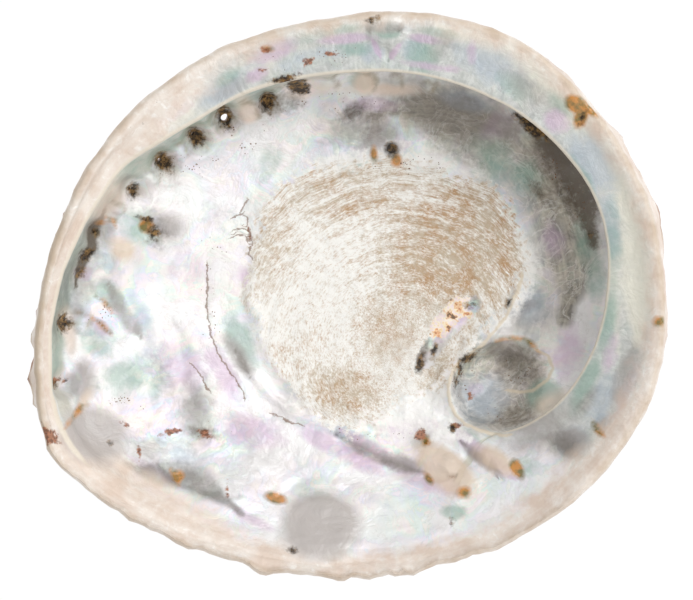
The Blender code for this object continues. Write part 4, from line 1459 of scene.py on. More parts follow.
@dataclass
class AbaloneShell:
    """The whole shell: pearly inside, shelf, rim, pores and rough back, as one mesh."""

    form: ShellForm = field(default_factory=ShellForm)
    inside: PearlSide = field(default_factory=PearlSide)
    back: RoughBack = field(default_factory=RoughBack)
    stains_and_shade: StainsAndShade = field(default_factory=StainsAndShade)
    columns: int = 576
    # Rows from which each ring has one vertex for every so many columns
    spacing: tuple[tuple[float, int], ...] = (
        (0, 8), (0.34, 4), (0.64, 2), (1.13, 1), (9.4, 2), (16.4, 4), (16.8, 8),
    )
    ragged: float = 0.45
    ragged_lip: float = 2.1
    pore_height: float = 20.0
    pore_slope: tuple[float, ...] = (48.0, 80.0, 48.0, 48.0, 48.0, 48.0, 48.0, 48.0)
    pore_reach: tuple[float, float] = (5.0, 13.0)
    pore_taper: tuple[float, float] = (1.05, 0.95)
    pore_sides: int = 40
    # The bores are narrower than the pores, at these shares of their radius
    pore_clear: tuple[float, ...] = (0.25, 0.42, 0.25, 0.25, 0.2, 0.2, 0.2, 0.16)
    # The pale edge of the shelf: its width, and the angles between which it shows
    ledge_width: float = 1.5
    ledge_turn: tuple[float, float, float] = (-47.0, 212.0, 4.0)
    # Row behind which the spire's knob pushes the back down
    knob_start: float = 10.9
    crease_angle: float = 50.0

    def surface(self) -> Surface:
        """Lays out the plain form.

        Returns:
            The shell's points.
        """
        angles = np.arange(self.columns) * 360.0 / self.columns
        sections = np.array([self.form.section(a) for a in angles])
        turn = np.radians(angles)[:, None]
        grid = np.stack(
            [
                self.form.middle[0] + sections[:, :, 0] * np.cos(turn),
                self.form.middle[1] + sections[:, :, 0] * np.sin(turn),
                sections[:, :, 1],
            ],
            axis=2,
        )
        lip = np.array([1.0 - self.form.shelf_weights(a)[self.form.edge_point] for a in angles])
        return Surface(grid, angles[:, None], self.form.stations()[None, :], lip[:, None])

    @staticmethod
    def run_from(surface: Surface, station: float) -> Array:
        """Measures each point's distance, along its own section, from the row at a station.

        Args:
            surface: The shell's points.
            station: The row's place along the section.

        Returns:
            Distances in millimetres.
        """
        steps = np.linalg.norm(np.diff(surface.grid, axis=1), axis=2)
        run = np.concatenate([np.zeros((len(steps), 1)), np.cumsum(steps, axis=1)], axis=1)
        row = int(np.argmin(np.abs(surface.station[0] - station)))
        return np.abs(run - run[:, row:row + 1])

    def fray(self, surface: Surface) -> None:
        """Makes the rim's outline uneven, and the thin lip's chipped.

        Args:
            surface: The shell's points, which it moves.
        """
        places = round_rim(surface.angle, RIM_CIRCLE, 0.0 * surface.angle)
        soft = Grain(9.0, 4, 41)(places)
        chips = np.abs(Grain(8.0, 4, 42)(places)) - 0.4
        out = self.ragged * soft + surface.lip * self.ragged_lip * chips
        window = np.interp(surface.station, (7.2, 8.6, 10.6, 12.0), (0.0, 1.0, 1.0, 0.0))
        layers = Grain(3.0, 3, 43)(surface.grid)
        out = (out + 0.2 * layers) * window
        turn = np.radians(surface.angle)
        surface.grid[:, :, 0] += out * np.cos(turn)
        surface.grid[:, :, 1] += out * np.sin(turn)
        drop = 0.25 * window * np.interp(surface.station, (9.0, 9.5), (0.0, -1.0))
        surface.grid[:, :, 2] += drop * (soft + 0.6)

    def relief(self, surface: Surface) -> dict[str, Array]:
        """Adds all relief to the plain form, and measures the marks on the way.

        Args:
            surface: The shell's points, which it moves.

        Returns:
            For each mark, its value at each point.
        """
        edge = self.run_from(surface, self.form.crest_point)
        ledge = self.run_from(surface, self.form.edge_point - 0.1)
        self.fray(surface)
        share = self.inside.plain_share(surface)
        surface.grid[:, :, 2] += share * self.inside.plain(surface.x, surface.y)
        outside = np.interp(surface.station, (10.3, 11.0), (0.0, 1.0))
        surface.push(outside * self.back.plain(surface))
        marks = self.stains_and_shade.fields(surface, edge, self.inside)
        ledge = np.clip(1.0 - ledge / self.ledge_width, 0.0, 1.0)
        marks["ledge"] = ledge * turn_window(surface.angle, *self.ledge_turn)
        marks["round_rim"] = round_rim(surface.angle, RIM_CIRCLE, edge)
        marks["scar_grain"] = self.inside.scar_grain(surface.grid)
        surface.push(self.inside.details(surface, edge) + outside * self.back.details(surface))
        away, _ = polar(surface.x, surface.y, self.back.spire)
        knob = self.back.knob_depth * bell(away, self.back.knob_radius)
        lowest = self.back.knob_clearance * smooth(*self.back.knob_edge, knob)
        low = surface.station[0] > self.knob_start
        surface.grid[:, low, 2] = np.maximum(surface.grid[:, low, 2] - knob[:, low], lowest[:, low])
        return marks

    def rings(self) -> list[int]:
        """Thins out the rings where they are small or hidden.

        Returns:
            For each row, how many columns apart its vertices stand.
        """
        starts = np.array([start for start, _ in self.spacing])
        found = np.searchsorted(starts, self.form.stations(), side="right") - 1
        return [self.spacing[i][1] for i in found]

    @staticmethod
    def faces(rings: list[Array]) -> list[tuple[int, ...]]:
        """Joins neighbouring rings, which have the same count, or one twice the other's, or one point.

        Args:
            rings: Numbers of each ring's vertices, in order round it.

        Returns:
            The faces, as numbers of vertices.
        """
        faces: list[tuple[int, ...]] = []
        for upper, lower in zip(rings[:-1], rings[1:]):
            a, b = len(upper), len(lower)
            for c in range(min(a, b) if min(a, b) > 1 else max(a, b)):
                n = c + 1
                if a == 1:
                    faces.append((upper[0], lower[c], lower[n % b]))
                elif b == 1:
                    faces.append((upper[c], lower[0], upper[n % a]))
                elif a == b:
                    faces.append((upper[c], lower[c], lower[n % b], upper[n % a]))
                elif b == 2 * a:
                    left, middle, right = lower[2 * c], lower[2 * c + 1], lower[(2 * c + 2) % b]
                    start, end = upper[c], upper[n % a]
                    faces += [(start, left, middle), (start, middle, end), (end, middle, right)]
                else:
                    left, middle, right = upper[2 * c], upper[2 * c + 1], upper[(2 * c + 2) % a]
                    start, end = lower[c], lower[n % b]
                    faces += [(left, start, middle), (middle, start, end), (middle, end, right)]
        return [tuple(int(v) for v in face) for face in faces]

    def pegs(self) -> bpy.types.Object:
        """Makes the pegs that bore the pores, which lean outward and down through the wall.

        Returns:
            One object with all the pegs.
        """
        places: list[Vector] = []
        faces: list[tuple[int, ...]] = []
        before, after = self.pore_reach
        n = self.pore_sides
        for pore, clear, lean in zip(PORES, self.pore_clear, self.pore_slope):
            out = Vector((pore.x - self.form.middle[0], pore.y - self.form.middle[1], 0.0)).normalized()
            slope = math.radians(lean)
            axis = out * math.cos(slope) - Vector((0.0, 0.0, math.sin(slope)))
            turn = axis.to_track_quat("Z", "Y").to_matrix()
            top = [len(places) + k for k in range(n)]
            bottom = [place + n for place in top]
            for along, taper in ((-before, self.pore_taper[0]), (after, self.pore_taper[1])):
                for k in range(n):
                    angle = 2.0 * math.pi * k / n
                    spoke = Vector((math.cos(angle), math.sin(angle), 0.0)) * pore.radius * taper
                    wobble = 1.0 + 0.06 * math.sin(3.0 * angle + pore.x)
                    wobble += 0.05 * math.sin(2.0 * angle + pore.y)
                    spoke *= clear
                    place = Vector((pore.x, pore.y, self.pore_height)) + turn @ (spoke * wobble)
                    places.append((place + axis * along) * MM)
            faces += [(top[k], top[(k + 1) % n], bottom[(k + 1) % n], bottom[k]) for k in range(n)]
            faces += [tuple(reversed(top)), tuple(bottom)]
        mesh = bpy.data.meshes.new("pore_pegs")
        mesh.from_pydata(places, [], faces)
        pegs = bpy.data.objects.new("pore_pegs", mesh)
        bpy.context.scene.collection.objects.link(pegs)
        return pegs

    def bore(self, shell: bpy.types.Object) -> None:
        """Cuts the pores through the wall.

        Args:
            shell: The shell, which gets a new mesh.
        """
        pegs = self.pegs()
        cut = shell.modifiers.new("pores", "BOOLEAN")
        cut.operation, cut.solver, cut.object = "DIFFERENCE", "EXACT", pegs
        graph = bpy.context.evaluated_depsgraph_get()
        bored = bpy.data.meshes.new_from_object(shell.evaluated_get(graph))
        shell.modifiers.clear()
        plain = shell.data
        shell.data = bored
        bpy.data.meshes.remove(plain)
        bpy.data.objects.remove(pegs)

    @staticmethod
    def keep_marks(mesh: bpy.types.Mesh, surface: Surface, marks: dict[str, Array]) -> None:
        """Stores each mark on the mesh's points, read from the nearest point of the surface.

        Args:
            mesh: The shell's mesh.
            surface: The shell's points.
            marks: For each mark, its value at each point of the surface.
        """
        flat = surface.grid.reshape(-1, 3) * MM
        tree = KDTree(len(flat))
        for i, place in enumerate(flat):
            tree.insert(place, i)
        tree.balance()
        nearest = np.array([tree.find(vertex.co)[1] for vertex in mesh.vertices])
        for name, values in marks.items():
            if values.ndim == 3:
                kind, slot, rows = "FLOAT_VECTOR", "vector", values.reshape(-1, 3)
            else:
                kind, slot, rows = "FLOAT", "value", values.ravel()
            attribute = mesh.attributes.new(name, kind, "POINT")
            attribute.data.foreach_set(slot, rows[nearest].astype(np.float32).ravel())

    def build(self) -> bpy.types.Object:
        """Makes the shell, bored, marked and dressed.

        Returns:
            The shell.
        """
        surface = self.surface()
        marks = self.relief(surface)
        last_row = surface.grid.shape[1] - 1
        places: list[Array] = []
        rings: list[Array] = []
        for r, gap in enumerate(self.rings()):
            ring = surface.grid[::gap, r]
            if r in (0, last_row):
                ring = surface.grid[:, r].mean(axis=0, keepdims=True)
            rings.append(np.arange(len(ring)) + sum(len(other) for other in places))
            places.append(ring)
        mesh = bpy.data.meshes.new("shell_whole")
        mesh.from_pydata(np.concatenate(places) * MM, [], self.faces(rings))
        mesh.validate()
        shell = bpy.data.objects.new("abalone_shell", mesh)
        bpy.context.scene.collection.objects.link(shell)
        self.bore(shell)
        mesh = shell.data
        mesh.name = "abalone_shell"
        self.keep_marks(mesh, surface, marks)
        mesh.polygons.foreach_set("use_smooth", [True] * len(mesh.polygons))
        mesh.set_sharp_from_angle(angle=math.radians(self.crease_angle))
        mesh.materials.clear()
        mesh.materials.append(Nacre().build())
        return shell


def linear(code: str) -> tuple[float, float, float, float]:
    """Turns an sRGB hex colour such as "f4efe9" to linear red, green, blue and alpha.

    Args:
        code: Six hex digits.

    Returns:
        Linear values with an alpha of 1.
    """
    shares = [int(code[i:i + 2], 16) / 255.0 for i in (0, 2, 4)]
    red, green, blue = (s / 12.92 if s <= 0.04045 else ((s + 0.055) / 1.055) ** 2.4 for s in shares)
    return red, green, blue, 1.0


def add_node(
    tree: bpy.types.NodeTree, kind: str, settings: dict[str, object] | None = None,
    sockets: dict[int | str, object] | None = None,
) -> bpy.types.Node:
    """Adds a node with its settings, and sets or links its inputs.

    Args:
        tree: Node tree that gets the node.
        kind: Type of the node, without the part ShaderNode.
        settings: Properties of the node.
        sockets: Inputs by name or number: a value, or the output that feeds it.

    Returns:
        The node.
    """
    node = tree.nodes.new("ShaderNode" + kind)
    for name, value in (settings or {}).items():
        setattr(node, name, value)
    for key, value in (sockets or {}).items():
        if isinstance(value, bpy.types.NodeSocket):
            tree.links.new(value, node.inputs[key])
        else:
            node.inputs[key].default_value = value
    return node


@dataclass
class Bench:
    """Makes the nodes of the shell's finish, and keeps the patterns that several of its layers share.

    Attributes:
        tree: The material's node tree.
        made: Noises that are there already, so that the same noise is made once.
    """

    tree: bpy.types.NodeTree
    made: dict[tuple[object, ...], Socket] = field(default_factory=dict)

    def __post_init__(self) -> None:
        """Makes the shared patterns, some of them along the shell's own directions."""
        metres = add_node(self.tree, "TexCoord").outputs["Object"]
        self.places = add_node(
            self.tree, "VectorMath", {"operation": "SCALE"}, {0: metres, "Scale": 1.0 / MM},
        ).outputs[0]
        self.folds = self.mark("folds")
        self.fibres = self.noise(1.0, 4.0, self.stretched("scar_grain", (2.6, 1.0, 1.0)), roughness=0.75)
        self.arcs = self.noise(1.0, 3.0, self.stretched("scar_grain", (0.75, 0.05, 0.05)), roughness=0.6)
        self.streaks = self.noise(1.0, 3.0, self.stretched("round_rim", (0.9, 0.9, 0.10)), roughness=0.6)
        self.layers = self.noise(1.0, 3.0, self.stretched("round_rim", (0.06, 0.06, 0.8)), roughness=0.6)
        self.crumbs = self.noise(2.2, 6.0, roughness=0.78)
        self.mottle = self.noise(2.6, 6.0, roughness=0.72, distortion=0.8)
        self.flakes = self.noise(8.0, 5.0, roughness=0.6, distortion=1.4)
        self.vein = self.calc("ABSOLUTE", self.calc("SUBTRACT", self.flakes, 0.5))

    def noise(self, size: float, detail: float, where: Socket | None = None, **more: float) -> Socket:
        """Makes noise from 0 to 1, or finds it if it was made before.

        Args:
            size: Size of its lumps in millimetres.
            detail: How many finer layers it has.
            where: Coordinates, if not the places in millimetres.
            more: Roughness and distortion.

        Returns:
            The noise.
        """
        where = self.places if where is None else where
        key = (size, detail, where.node.name, *more.items())
        if key not in self.made:
            sockets = {"Vector": where, "Scale": 1.0 / size, "Detail": detail}
            sockets |= {name.capitalize(): value for name, value in more.items()}
            self.made[key] = add_node(self.tree, "TexNoise", None, sockets).outputs["Fac"]
        return self.made[key]

    def mark(self, name: str) -> Socket:
        """Reads one of the marks that the mesh carries."""
        return add_node(self.tree, "Attribute", {"attribute_name": name}).outputs["Fac"]

    def stretched(self, name: str, scale: tuple[float, float, float]) -> Socket:
        """Reads a vector that the mesh carries, scaled along its own directions."""
        vector = add_node(self.tree, "Attribute", {"attribute_name": name}).outputs["Vector"]
        return add_node(self.tree, "VectorMath", {"operation": "MULTIPLY"}, {0: vector, 1: scale}).outputs[0]

    def calc(self, operation: str, a: object, b: object = 0.0, c: object = 0.0) -> Socket:
        """Makes one step of arithmetic."""
        return add_node(self.tree, "Math", {"operation": operation}, {0: a, 1: b, 2: c}).outputs[0]

    def total(self, *parts: tuple[Socket, float]) -> Socket:
        """Adds up values.

        Args:
            parts: The values, each with its weight.

        Returns:
            The sum.
        """
        weighed = [self.calc("MULTIPLY", value, weight) for value, weight in parts]
        found = weighed[0]
        for part in weighed[1:]:
            found = self.calc("ADD", found, part)
        return found

    def step(self, value: object, low: float, high: float, top: float = 1.0) -> Socket:
        """Maps low..high to 0..top, and holds it there."""
        sockets = {"Value": value, "From Min": low, "From Max": high, "To Max": top}
        return add_node(self.tree, "MapRange", None, sockets).outputs[0]

    def mix(self, share: object, a: object, b: object) -> Socket:
        """Blends two colours, sockets or hex codes."""
        a, b = (linear(v) if isinstance(v, str) else v for v in (a, b))
        return add_node(self.tree, "Mix", {"data_type": "RGBA"}, {0: share, 6: a, 7: b}).outputs[2]

    def ramp(self, place: Socket, stops: tuple[tuple[float, str], ...]) -> Socket:
        """Makes a colour that runs through several.

        Args:
            place: Where on the ramp, from 0 to 1.
            stops: Places and hex colours, in order.

        Returns:
            The colour.
        """
        node = add_node(self.tree, "ValToRGB", None, {"Fac": place})
        while len(node.color_ramp.elements) < len(stops):
            node.color_ramp.elements.new(0.5)
        for element, (position, code) in zip(node.color_ramp.elements, stops):
            element.position, element.color = position, linear(code)
        return node.outputs["Color"]


@dataclass(frozen=True)
class Coat:
    """One layer of the shell's finish, laid over those before it.

    Attributes:
        mark: Name of the mark that says where it lies.
        colour: sRGB hex colour, or the name of a colour that the finish mixes itself.
        opacity: How much it hides where it is strongest.
        ragged: How far noise breaks up its edge.
        soft: Width of its edge.
        grain: Size of that noise in millimetres.
        rough: Roughness of the surface there.
        metal: Metallic share there, which gives pearl its depth.
        bump: Height of its grain in millimetres.
        edge: How the mark is measured; ragged and soft are in millimetres where it is sharp.
    """

    mark: str
    colour: str
    opacity: float
    ragged: float
    soft: float
    grain: float
    rough: float
    metal: float
    bump: float
    edge: Edge = Edge.SOFT


@dataclass(frozen=True)
class Nacre:
    """Finish of an abalone shell: mother-of-pearl inside, chalk and crust outside.

    The pearl is white and silvery, with pale pink, mint and blue where its thin layers split the light.
    The muscle scar is dull and fibrous, the border creamy and waxy, the back matt and chalky.
    Some coats are painted shade under the shelf and in hollows, and painted highlights on crinkles and the
    border.
    """

    name: str = "abalone_nacre"
    slot: str = "nacre"
    pearl: str = "f5f4f4"
    pearl_shade: str = "d5d2d1"
    pearl_dust: str = "b9b3ad"
    pearl_vein: str = "a79f98"
    lustre: tuple[tuple[float, str], ...] = (
        (0, "f3e4ed"), (0.14, "e8daf1"), (0.28, "d0def4"), (0.42, "cbe9e6"), (0.55, "d6eedd"),
        (0.68, "f3f2e2"), (0.82, "f6e5df"), (1, "f3e4ed"),
    )
    gouge: tuple[tuple[float, str], ...] = (
        (0, "3a2918"), (0.18, "7d5a38"), (0.26, "e2b184"), (0.38, "f6ecd4"), (0.52, "ecd9df"),
        (0.62, "f7e9c4"), (0.78, "dd9a66"), (0.92, "4d3823"),
    )
    # Half width of the marks that are thin lines, in millimetres
    lines: dict[str, float] = field(default_factory=lambda: {"crack": 0.22, "seam": 0.38})
    jags: dict[str, float] = field(default_factory=lambda: {"crack": 2.2, "seam": 0.6})
    dot_size: float = 0.8
    # Roughness, metallic share and bump of bare pearl
    pearl_gloss: tuple[float, float, float] = (0.38, 0.12, 0.10)
    lustre_size: float = 17.0
    lustre_base: float = 0.42
    wave_height: float = 0.38
    coats: tuple[Coat, ...] = (
        # Painted shade in the valley and the spire's hollow, with pale veins as painted highlights
        Coat("valley", "valley", 0.88, 0.30, 0.80, 7.0, 0.48, 0.10, 0.16),
        Coat("wall", "bfbca8", 0.60, 0.10, 0.40, 7.0, 0.38, 0.10, 0.05),
        Coat("shelf", "shelf", 0.84, 0.10, 0.50, 7.0, 0.34, 0.15, 0.08),
        Coat("ivory", "e6e2d2", 0.80, 0.60, 0.90, 7.0, 0.36, 0.10, 0.08),
        Coat("blue", "a3b1c0", 0.58, 0.60, 0.70, 3.5, 0.42, 0.10, 0.10),
        Coat("teal", "84a597", 0.62, 0.60, 0.70, 3.5, 0.42, 0.10, 0.10),
        Coat("rose", "c8abc5", 0.62, 0.60, 0.70, 3.5, 0.42, 0.10, 0.10),
        # Grey tones, partly painted shade in the fold and hollow low on the left
        Coat("grey", "9f9995", 0.82, 0.40, 0.70, 3.5, 0.42, 0.05, 0.08),
        Coat("shade", "6b645c", 0.74, 0.50, 1.00, 3.5, 0.44, 0.05, 0.10),
        # Brown stains and pits, and painted shade under the shelf's edge at the upper right
        Coat("brown", "4f4230", 0.86, 0.60, 0.80, 1.6, 0.50, 0.00, 0.12),
        # Chalky white, partly painted highlights on crinkles
        Coat("chalk", "f7f5f1", 0.75, 1.3, 0.90, 1.6, 0.50, 0.00, 0.50),
        Coat("cream", "e6d0be", 0.75, 0.40, 0.90, 7.0, 0.40, 0.02, 0.05),
        Coat("beige", "d9c4ae", 0.80, 1.4, 2.6, 3.5, 0.40, 0.00, 0.05, Edge.SHARP),
        Coat("border", "border", 0.92, 4.5, 5.0, 7.0, 0.45, 0.00, 0.10, Edge.SHARP),
        Coat("blister", "b7b0ac", 0.92, 0.9, 3.6, 3.5, 0.36, 0.00, 0.03, Edge.SHARP),
        Coat("crest", "b8a48a", 0.72, 0.50, 0.80, 7.0, 0.60, 0.00, 0.20),
        Coat("scar", "scar", 1.00, 1.00, 0.40, 1.6, 0.60, 0.00, 0.40),
        Coat("gouge", "gouge", 0.95, 1.6, 0.5, 1.6, 0.40, 0.00, 0.50, Edge.SHARP),
        # Soft brown round the pores, partly painted shade under the shelf, and painted shade on one side of
        # each bead
        Coat("halo", "7d6c49", 0.85, 0.40, 0.90, 1.6, 0.50, 0.00, 0.08),
        Coat("ledge", "e3d9c8", 0.80, 0.10, 0.40, 1.6, 0.36, 0.05, 0.02),
        Coat("seam", "d2c4ac", 0.75, 0.20, 0.40, 1.6, 0.40, 0.00, 0.04),
        Coat("amber", "amber", 0.90, 0.6, 1.2, 3.5, 0.22, 0.00, 0.03, Edge.SHARP),
        Coat("rust", "rust", 0.92, 2.0, 0.7, 1.6, 0.80, 0.00, 0.25, Edge.SHARP),
        Coat("dirt", "dirt", 0.95, 1.9, 1.2, 1.6, 0.85, 0.00, 0.20, Edge.SHARP),
        # Dark mottled paint over each pore's funnel
        Coat("pores", "dirt", 0.97, 2.0, 1.4, 1.6, 0.90, 0.00, 0.30, Edge.SHARP),
        Coat("crack", "7a5a41", 0.75, 0.30, 0.25, 1.6, 0.60, 0.00, 0.05),
        Coat("specks", "6e4a2c", 0.95, 0.00, 0.15, 1.0, 0.70, 0.00, 0.05),
        Coat("back", "crust", 1.00, 0.25, 0.30, 3.5, 0.85, 0.00, 0.60),
    )

    def pearl_colour(self, bench: Bench) -> Socket:
        """Mixes mother-of-pearl: white, greyer in the folds' hollows as painted shade, with the pale colours
        of thin layers in soft bands.

        Args:
            bench: Makes the nodes.

        Returns:
            The colour.
        """
        band = bench.noise(self.lustre_size, 3.0, distortion=0.9)
        phase = bench.total((band, 3.4), (bench.folds, 0.7), (bench.streaks, 0.5))
        phase = bench.calc("ADD", phase, bench.step(bench.flakes, 0.47, 0.52, 0.3))
        bands = bench.ramp(bench.calc("FRACT", phase), self.lustre)
        amount = bench.calc("ADD", bench.calc("MULTIPLY", bench.mark("vivid"), 0.6), self.lustre_base)
        amount = bench.calc("MULTIPLY", amount, bench.step(bench.noise(11.0, 3.0), 0.35, 0.65))
        folds = bench.calc("ADD", bench.folds, bench.calc("MULTIPLY", bench.noise(6.0, 4.0), 0.35))
        ground = bench.mix(bench.step(folds, 0.80, 0.45), self.pearl, self.pearl_shade)
        ground = bench.mix(bench.step(bench.mottle, 0.54, 0.70, 0.35), ground, self.pearl_dust)
        ground = bench.mix(bench.step(bench.vein, 0.012, 0.0, 0.22), ground, self.pearl_vein)
        return bench.mix(amount, ground, bands)

    def scar_colour(self, bench: Bench) -> Socket:
        """Mixes the muscle scar: chalk white over horn brown, in short fibres along its growth arcs.

        Args:
            bench: Makes the nodes.

        Returns:
            The colour.
        """
        fibres = bench.calc("MULTIPLY", bench.fibres, 1.5)
        brown = bench.calc("MULTIPLY_ADD", bench.mark("tan"), 0.42, fibres)
        brown = bench.calc("ADD", brown, bench.calc("MULTIPLY", bench.crumbs, 1.1))
        arcs = bench.calc("MULTIPLY", bench.calc("SUBTRACT", bench.arcs, 0.5), bench.mark("arcs"))
        brown = bench.step(bench.calc("ADD", brown, bench.calc("MULTIPLY", arcs, 0.9)), 1.30, 1.74)
        horn = bench.mix(bench.step(bench.noise(6.0, 5.0, roughness=0.7), 0.42, 0.66), "c2b19a", "b58e64")
        return bench.mix(brown, "f4f2ed", horn)

    def valley_colour(self, bench: Bench) -> Socket:
        """Mixes the dull valley round the scar: streaked greys and browns, darkened as painted shade under
        the shelf, with pale veins that are painted highlights.

        Args:
            bench: Makes the nodes.

        Returns:
            The colour.
        """
        broad = bench.calc("MULTIPLY", bench.noise(11.0, 3.0), 0.35)
        tone = bench.calc("MULTIPLY_ADD", bench.mottle, 0.5, broad)
        tone = bench.calc("MULTIPLY_ADD", bench.layers, 0.4, tone)
        tone = bench.mix(bench.step(tone, 0.49, 0.74), "554c3e", "bfb7a5")
        return bench.mix(bench.step(bench.vein, 0.035, 0.0, 0.6), tone, "dedad2")

    def crust_colour(self, bench: Bench) -> Socket:
        """Mixes the back: chalk and reddish crust, with grey green growth.

        Args:
            bench: Makes the nodes.

        Returns:
            The colour.
        """
        rusty = bench.mix(bench.step(self.growth(bench), 0.38, 0.60), "c7a692", "9c6f5a")
        chalk = bench.mix(bench.step(bench.noise(13.0, 5.0, roughness=0.7), 0.44, 0.56), rusty, "dccdbb")
        return bench.mix(bench.step(bench.noise(7.0, 6.0, roughness=0.75), 0.60, 0.68), chalk, "8d8a77")

    def mixed_colours(self, bench: Bench) -> dict[str, Socket]:
        """Mixes the colours that the coats ask for by name.

        Args:
            bench: Makes the nodes.

        Returns:
            The colours by name.
        """
        blotches = bench.noise(3.4, 4.0, roughness=0.6)
        soft = bench.calc("MULTIPLY", bench.noise(7.0, 4.0, roughness=0.6), 0.8)
        rim = bench.step(bench.calc("MULTIPLY_ADD", bench.layers, 0.2, soft), 0.40, 0.62)
        # The border's whiter mottled patches are painted glints
        chalky = bench.mix(bench.step(bench.mottle, 0.52, 0.64, 0.7), "e9dfd5", "fbf8f4")
        streaky = bench.calc("MULTIPLY_ADD", bench.streaks, 0.3, bench.calc("MULTIPLY", bench.mottle, 0.7))
        return {
            "scar": self.scar_colour(bench),
            "valley": self.valley_colour(bench),
            "crust": self.crust_colour(bench),
            "border": bench.mix(rim, chalky, "d8c4b4"),
            "shelf": bench.mix(bench.step(streaky, 0.40, 0.60), "a9ada7", "cdcfca"),
            "amber": bench.mix(bench.step(blotches, 0.44, 0.60), "c4812a", "6f5f14"),
            "gouge": bench.ramp(bench.step(blotches, 0.3, 0.7), self.gouge),
            "dirt": bench.mix(bench.step(bench.crumbs, 0.46, 0.60), "20150a", "94713f"),
            "rust": bench.mix(bench.step(self.fine(bench), 0.42, 0.58), "ab7152", "6b3f28"),
        }

    @staticmethod
    def growth(bench: Bench) -> Socket:
        """Makes the noise of what has grown on the shell."""
        return bench.noise(5.0, 5.0, roughness=0.65)

    @staticmethod
    def fine(bench: Bench) -> Socket:
        """Makes the finest noise."""
        return bench.noise(0.9, 4.0, roughness=0.6)

    def dots(self, bench: Bench) -> Socket:
        """Scatters small dark dots where the specks are.

        Args:
            bench: Makes the nodes.

        Returns:
            The dots' strength.
        """
        cells = add_node(
            bench.tree, "TexVoronoi", None,
            {"Vector": bench.places, "Scale": 1.0 / self.dot_size, "Randomness": 1.0},
        )
        away = bench.calc("ADD", cells.outputs["Distance"], bench.calc("MULTIPLY", self.fine(bench), 0.5))
        clusters = bench.step(self.growth(bench), 0.50, 0.60, 7.0)
        where = bench.calc("MULTIPLY", bench.mark("specks"), clusters)
        return bench.calc("MULTIPLY", bench.calc("SUBTRACT", 0.58, away), where)

    def thin_line(self, bench: Bench, name: str) -> Socket:
        """Draws a thin, uneven line.

        Args:
            bench: Makes the nodes.
            name: Name of the line's mark.

        Returns:
            The line's strength.
        """
        jags = self.jags[name]
        uneven = bench.noise(1.6, 3.0, roughness=0.65)
        side = bench.calc("MULTIPLY_ADD", uneven, jags, bench.mark(name + "_side"))
        side = bench.calc("ADD", side, -0.5 * jags)
        thin = bench.calc("MULTIPLY_ADD", bench.calc("ABSOLUTE", side), -1.0, self.lines[name])
        near = bench.step(bench.mark(name), 0.45, 0.65)
        return bench.calc("MULTIPLY", bench.calc("ADD", thin, 0.5), near)

    def share(self, bench: Bench, coat: Coat) -> Socket:
        """Tells how much of a coat lies at each place.

        Args:
            bench: Makes the nodes.
            coat: The coat.

        Returns:
            Shares from 0 to the coat's opacity.
        """
        if coat.mark == "specks":
            value = self.dots(bench)
        elif coat.mark in self.lines:
            value = self.thin_line(bench, coat.mark)
        else:
            value = bench.mark(coat.mark)
        if coat.ragged:
            uneven = bench.noise(coat.grain, 3.0, roughness=0.65)
            broken = bench.calc("MULTIPLY_ADD", uneven, 2.0 * coat.ragged, -coat.ragged)
            if coat.edge is Edge.SOFT:
                broken = bench.calc("MULTIPLY", broken, bench.step(value, 0.0, 0.25))
            value = bench.calc("ADD", value, broken)
        level = 0.0 if coat.edge is Edge.SHARP else 0.5
        return bench.step(value, level - 0.5 * coat.soft, level + 0.5 * coat.soft, coat.opacity)

    def build(self) -> bpy.types.Material:
        """Makes the material.

        Returns:
            The material.
        """
        material = bpy.data.materials.new(self.name)
        material.use_nodes = True
        tree = material.node_tree
        tree.nodes.clear()
        bench = Bench(tree)
        colour = self.pearl_colour(bench)
        mixed = self.mixed_colours(bench)
        rough, metal, bump = self.pearl_gloss
        gloss = add_node(tree, "CombineXYZ", None, {0: rough, 1: metal, 2: bump}).outputs[0]
        for coat in self.coats:
            share = self.share(bench, coat)
            colour = bench.mix(share, colour, mixed.get(coat.colour) or linear(coat.colour))
            gloss = bench.mix(share, gloss, (coat.rough, coat.metal, coat.bump, 1.0))
        rough, metal, bump = add_node(tree, "SeparateColor", None, {0: gloss}).outputs[:3]

        waves = bench.calc("MULTIPLY_ADD", bench.vein, 1.6, bench.noise(4.2, 3.0, distortion=0.5))
        waves = add_node(
            tree, "Bump", None, {"Height": waves, "Strength": self.wave_height, "Distance": MM},
        ).outputs[0]
        grain = bench.calc("MULTIPLY", bench.fibres, bench.calc("MULTIPLY", bench.mark("scar"), 0.6))
        grain = bench.calc("ADD", grain, self.fine(bench))
        normal = add_node(
            tree, "Bump", None, {"Height": grain, "Strength": bump, "Distance": MM, "Normal": waves},
        ).outputs[0]
        shader = add_node(
            tree, "BsdfPrincipled", None,
            {"Base Color": colour, "Roughness": rough, "Metallic": metal, "Normal": normal},
        )
        add_node(tree, "OutputMaterial", None, {"Surface": shader.outputs[0]})
        return material


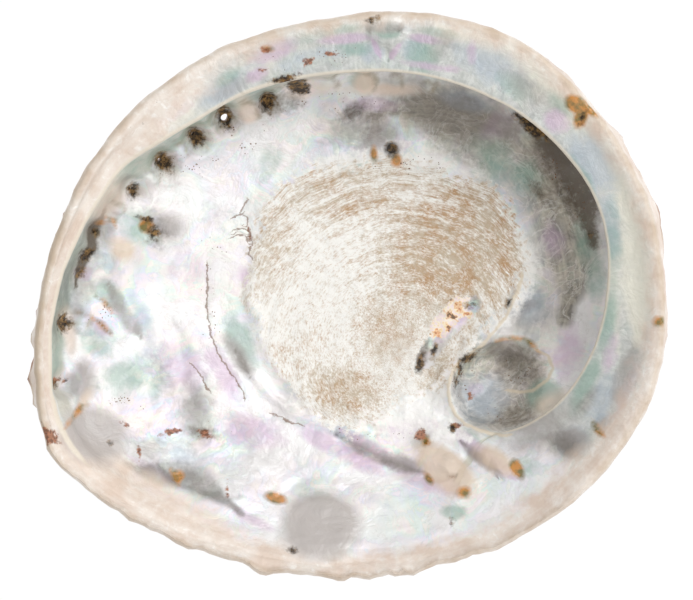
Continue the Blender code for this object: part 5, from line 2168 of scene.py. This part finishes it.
@dataclass
class Studio:
    """White studio with a soft light from the upper right, and the camera straight above."""

    camera_place: tuple[float, float, float] = (-1.006, -0.648, 700.0)
    lens: float = 136.47
    sensor: float = 36.0
    # Soft lamps: place in metres, diameter in metres and power in watts
    lamps: tuple[tuple[float, float, float, float, float], ...] = (
        (0.55, 0.6, 0.9, 0.6, 6.2), (-0.35, 0.25, 1.1, 0.25, 1.5), (0.1, -0.45, 1.05, 0.22, 0.6),
        (0.6, -0.5, 0.85, 0.36, 3.3),
    )
    floor_size: float = 6.0
    floor_drop: float = 0.6
    table_glow: float = 1.02
    zenith: float = 0.38
    horizon: float = 0.85

    def camera(self) -> None:
        """Sets the camera that sees what the photograph shows."""
        data = bpy.data.cameras.new("camera")
        data.lens, data.sensor_width, data.clip_start, data.clip_end = self.lens, self.sensor, 0.01, 20.0
        camera = bpy.data.objects.new("camera", data)
        camera.location = Vector(self.camera_place) * MM
        bpy.context.scene.collection.objects.link(camera)
        bpy.context.scene.camera = camera

    def light(self) -> None:
        """Hangs the soft lamps, all turned to the shell."""
        for number, (x, y, z, size, power) in enumerate(self.lamps):
            data = bpy.data.lights.new(f"lamp_{number}", "AREA")
            data.shape, data.size, data.energy = "DISK", size, power
            lamp = bpy.data.objects.new(f"lamp_{number}", data)
            lamp.location = (x, y, z)
            lamp.rotation_euler = (-Vector((x, y, z))).to_track_quat("-Z", "Y").to_euler()
            bpy.context.scene.collection.objects.link(lamp)

    def floor(self) -> None:
        """Lays a shining white table, as in a shadow-free product photograph."""
        half = self.floor_size / 2.0
        mesh = bpy.data.meshes.new("table")
        drop = -self.floor_drop * MM
        corners = [(-half, -half, drop), (half, -half, drop), (half, half, drop), (-half, half, drop)]
        mesh.from_pydata(corners, [], [(0, 1, 2, 3)])
        material = bpy.data.materials.new("light_table")
        material.use_nodes = True
        tree = material.node_tree
        tree.nodes.clear()
        glow = add_node(tree, "Emission", None, {"Color": linear("ffffff"), "Strength": self.table_glow})
        add_node(tree, "OutputMaterial", None, {"Surface": glow.outputs[0]})
        mesh.materials.append(material)
        table = bpy.data.objects.new("table", mesh)
        bpy.context.scene.collection.objects.link(table)

    def world(self) -> None:
        """Surrounds the shell with white walls that are brighter than the ceiling."""
        world = bpy.data.worlds.new("studio")
        world.use_nodes = True
        tree = world.node_tree
        tree.nodes.clear()
        direction = add_node(tree, "TexCoord").outputs["Generated"]
        up = add_node(tree, "SeparateXYZ", None, {0: direction}).outputs[2]
        level = add_node(
            tree, "MapRange", None,
            {"Value": up, "From Min": 0.0, "From Max": 0.9, "To Min": self.horizon, "To Max": self.zenith},
        ).outputs[0]
        sky = add_node(tree, "Background", None, {"Color": linear("ffffff"), "Strength": level})
        add_node(tree, "OutputWorld", None, {"Surface": sky.outputs[0]})
        bpy.context.scene.world = world

    def build(self) -> None:
        """Sets up the whole studio."""
        self.camera()
        self.light()
        self.floor()
        self.world()
        bpy.context.scene.view_settings.view_transform = "Standard"


def main() -> None:
    """Builds the studio and the shell."""
    logging.basicConfig(level=logging.INFO, format="%(name)s: %(message)s")
    Studio().build()
    LOG.info("studio set")
    shell = AbaloneShell().build()
    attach(shell, "root")
    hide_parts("shell")
    LOG.info("%s built with %d faces", shell.name, len(shell.data.polygons))


if __name__ == "__main__":
    main()
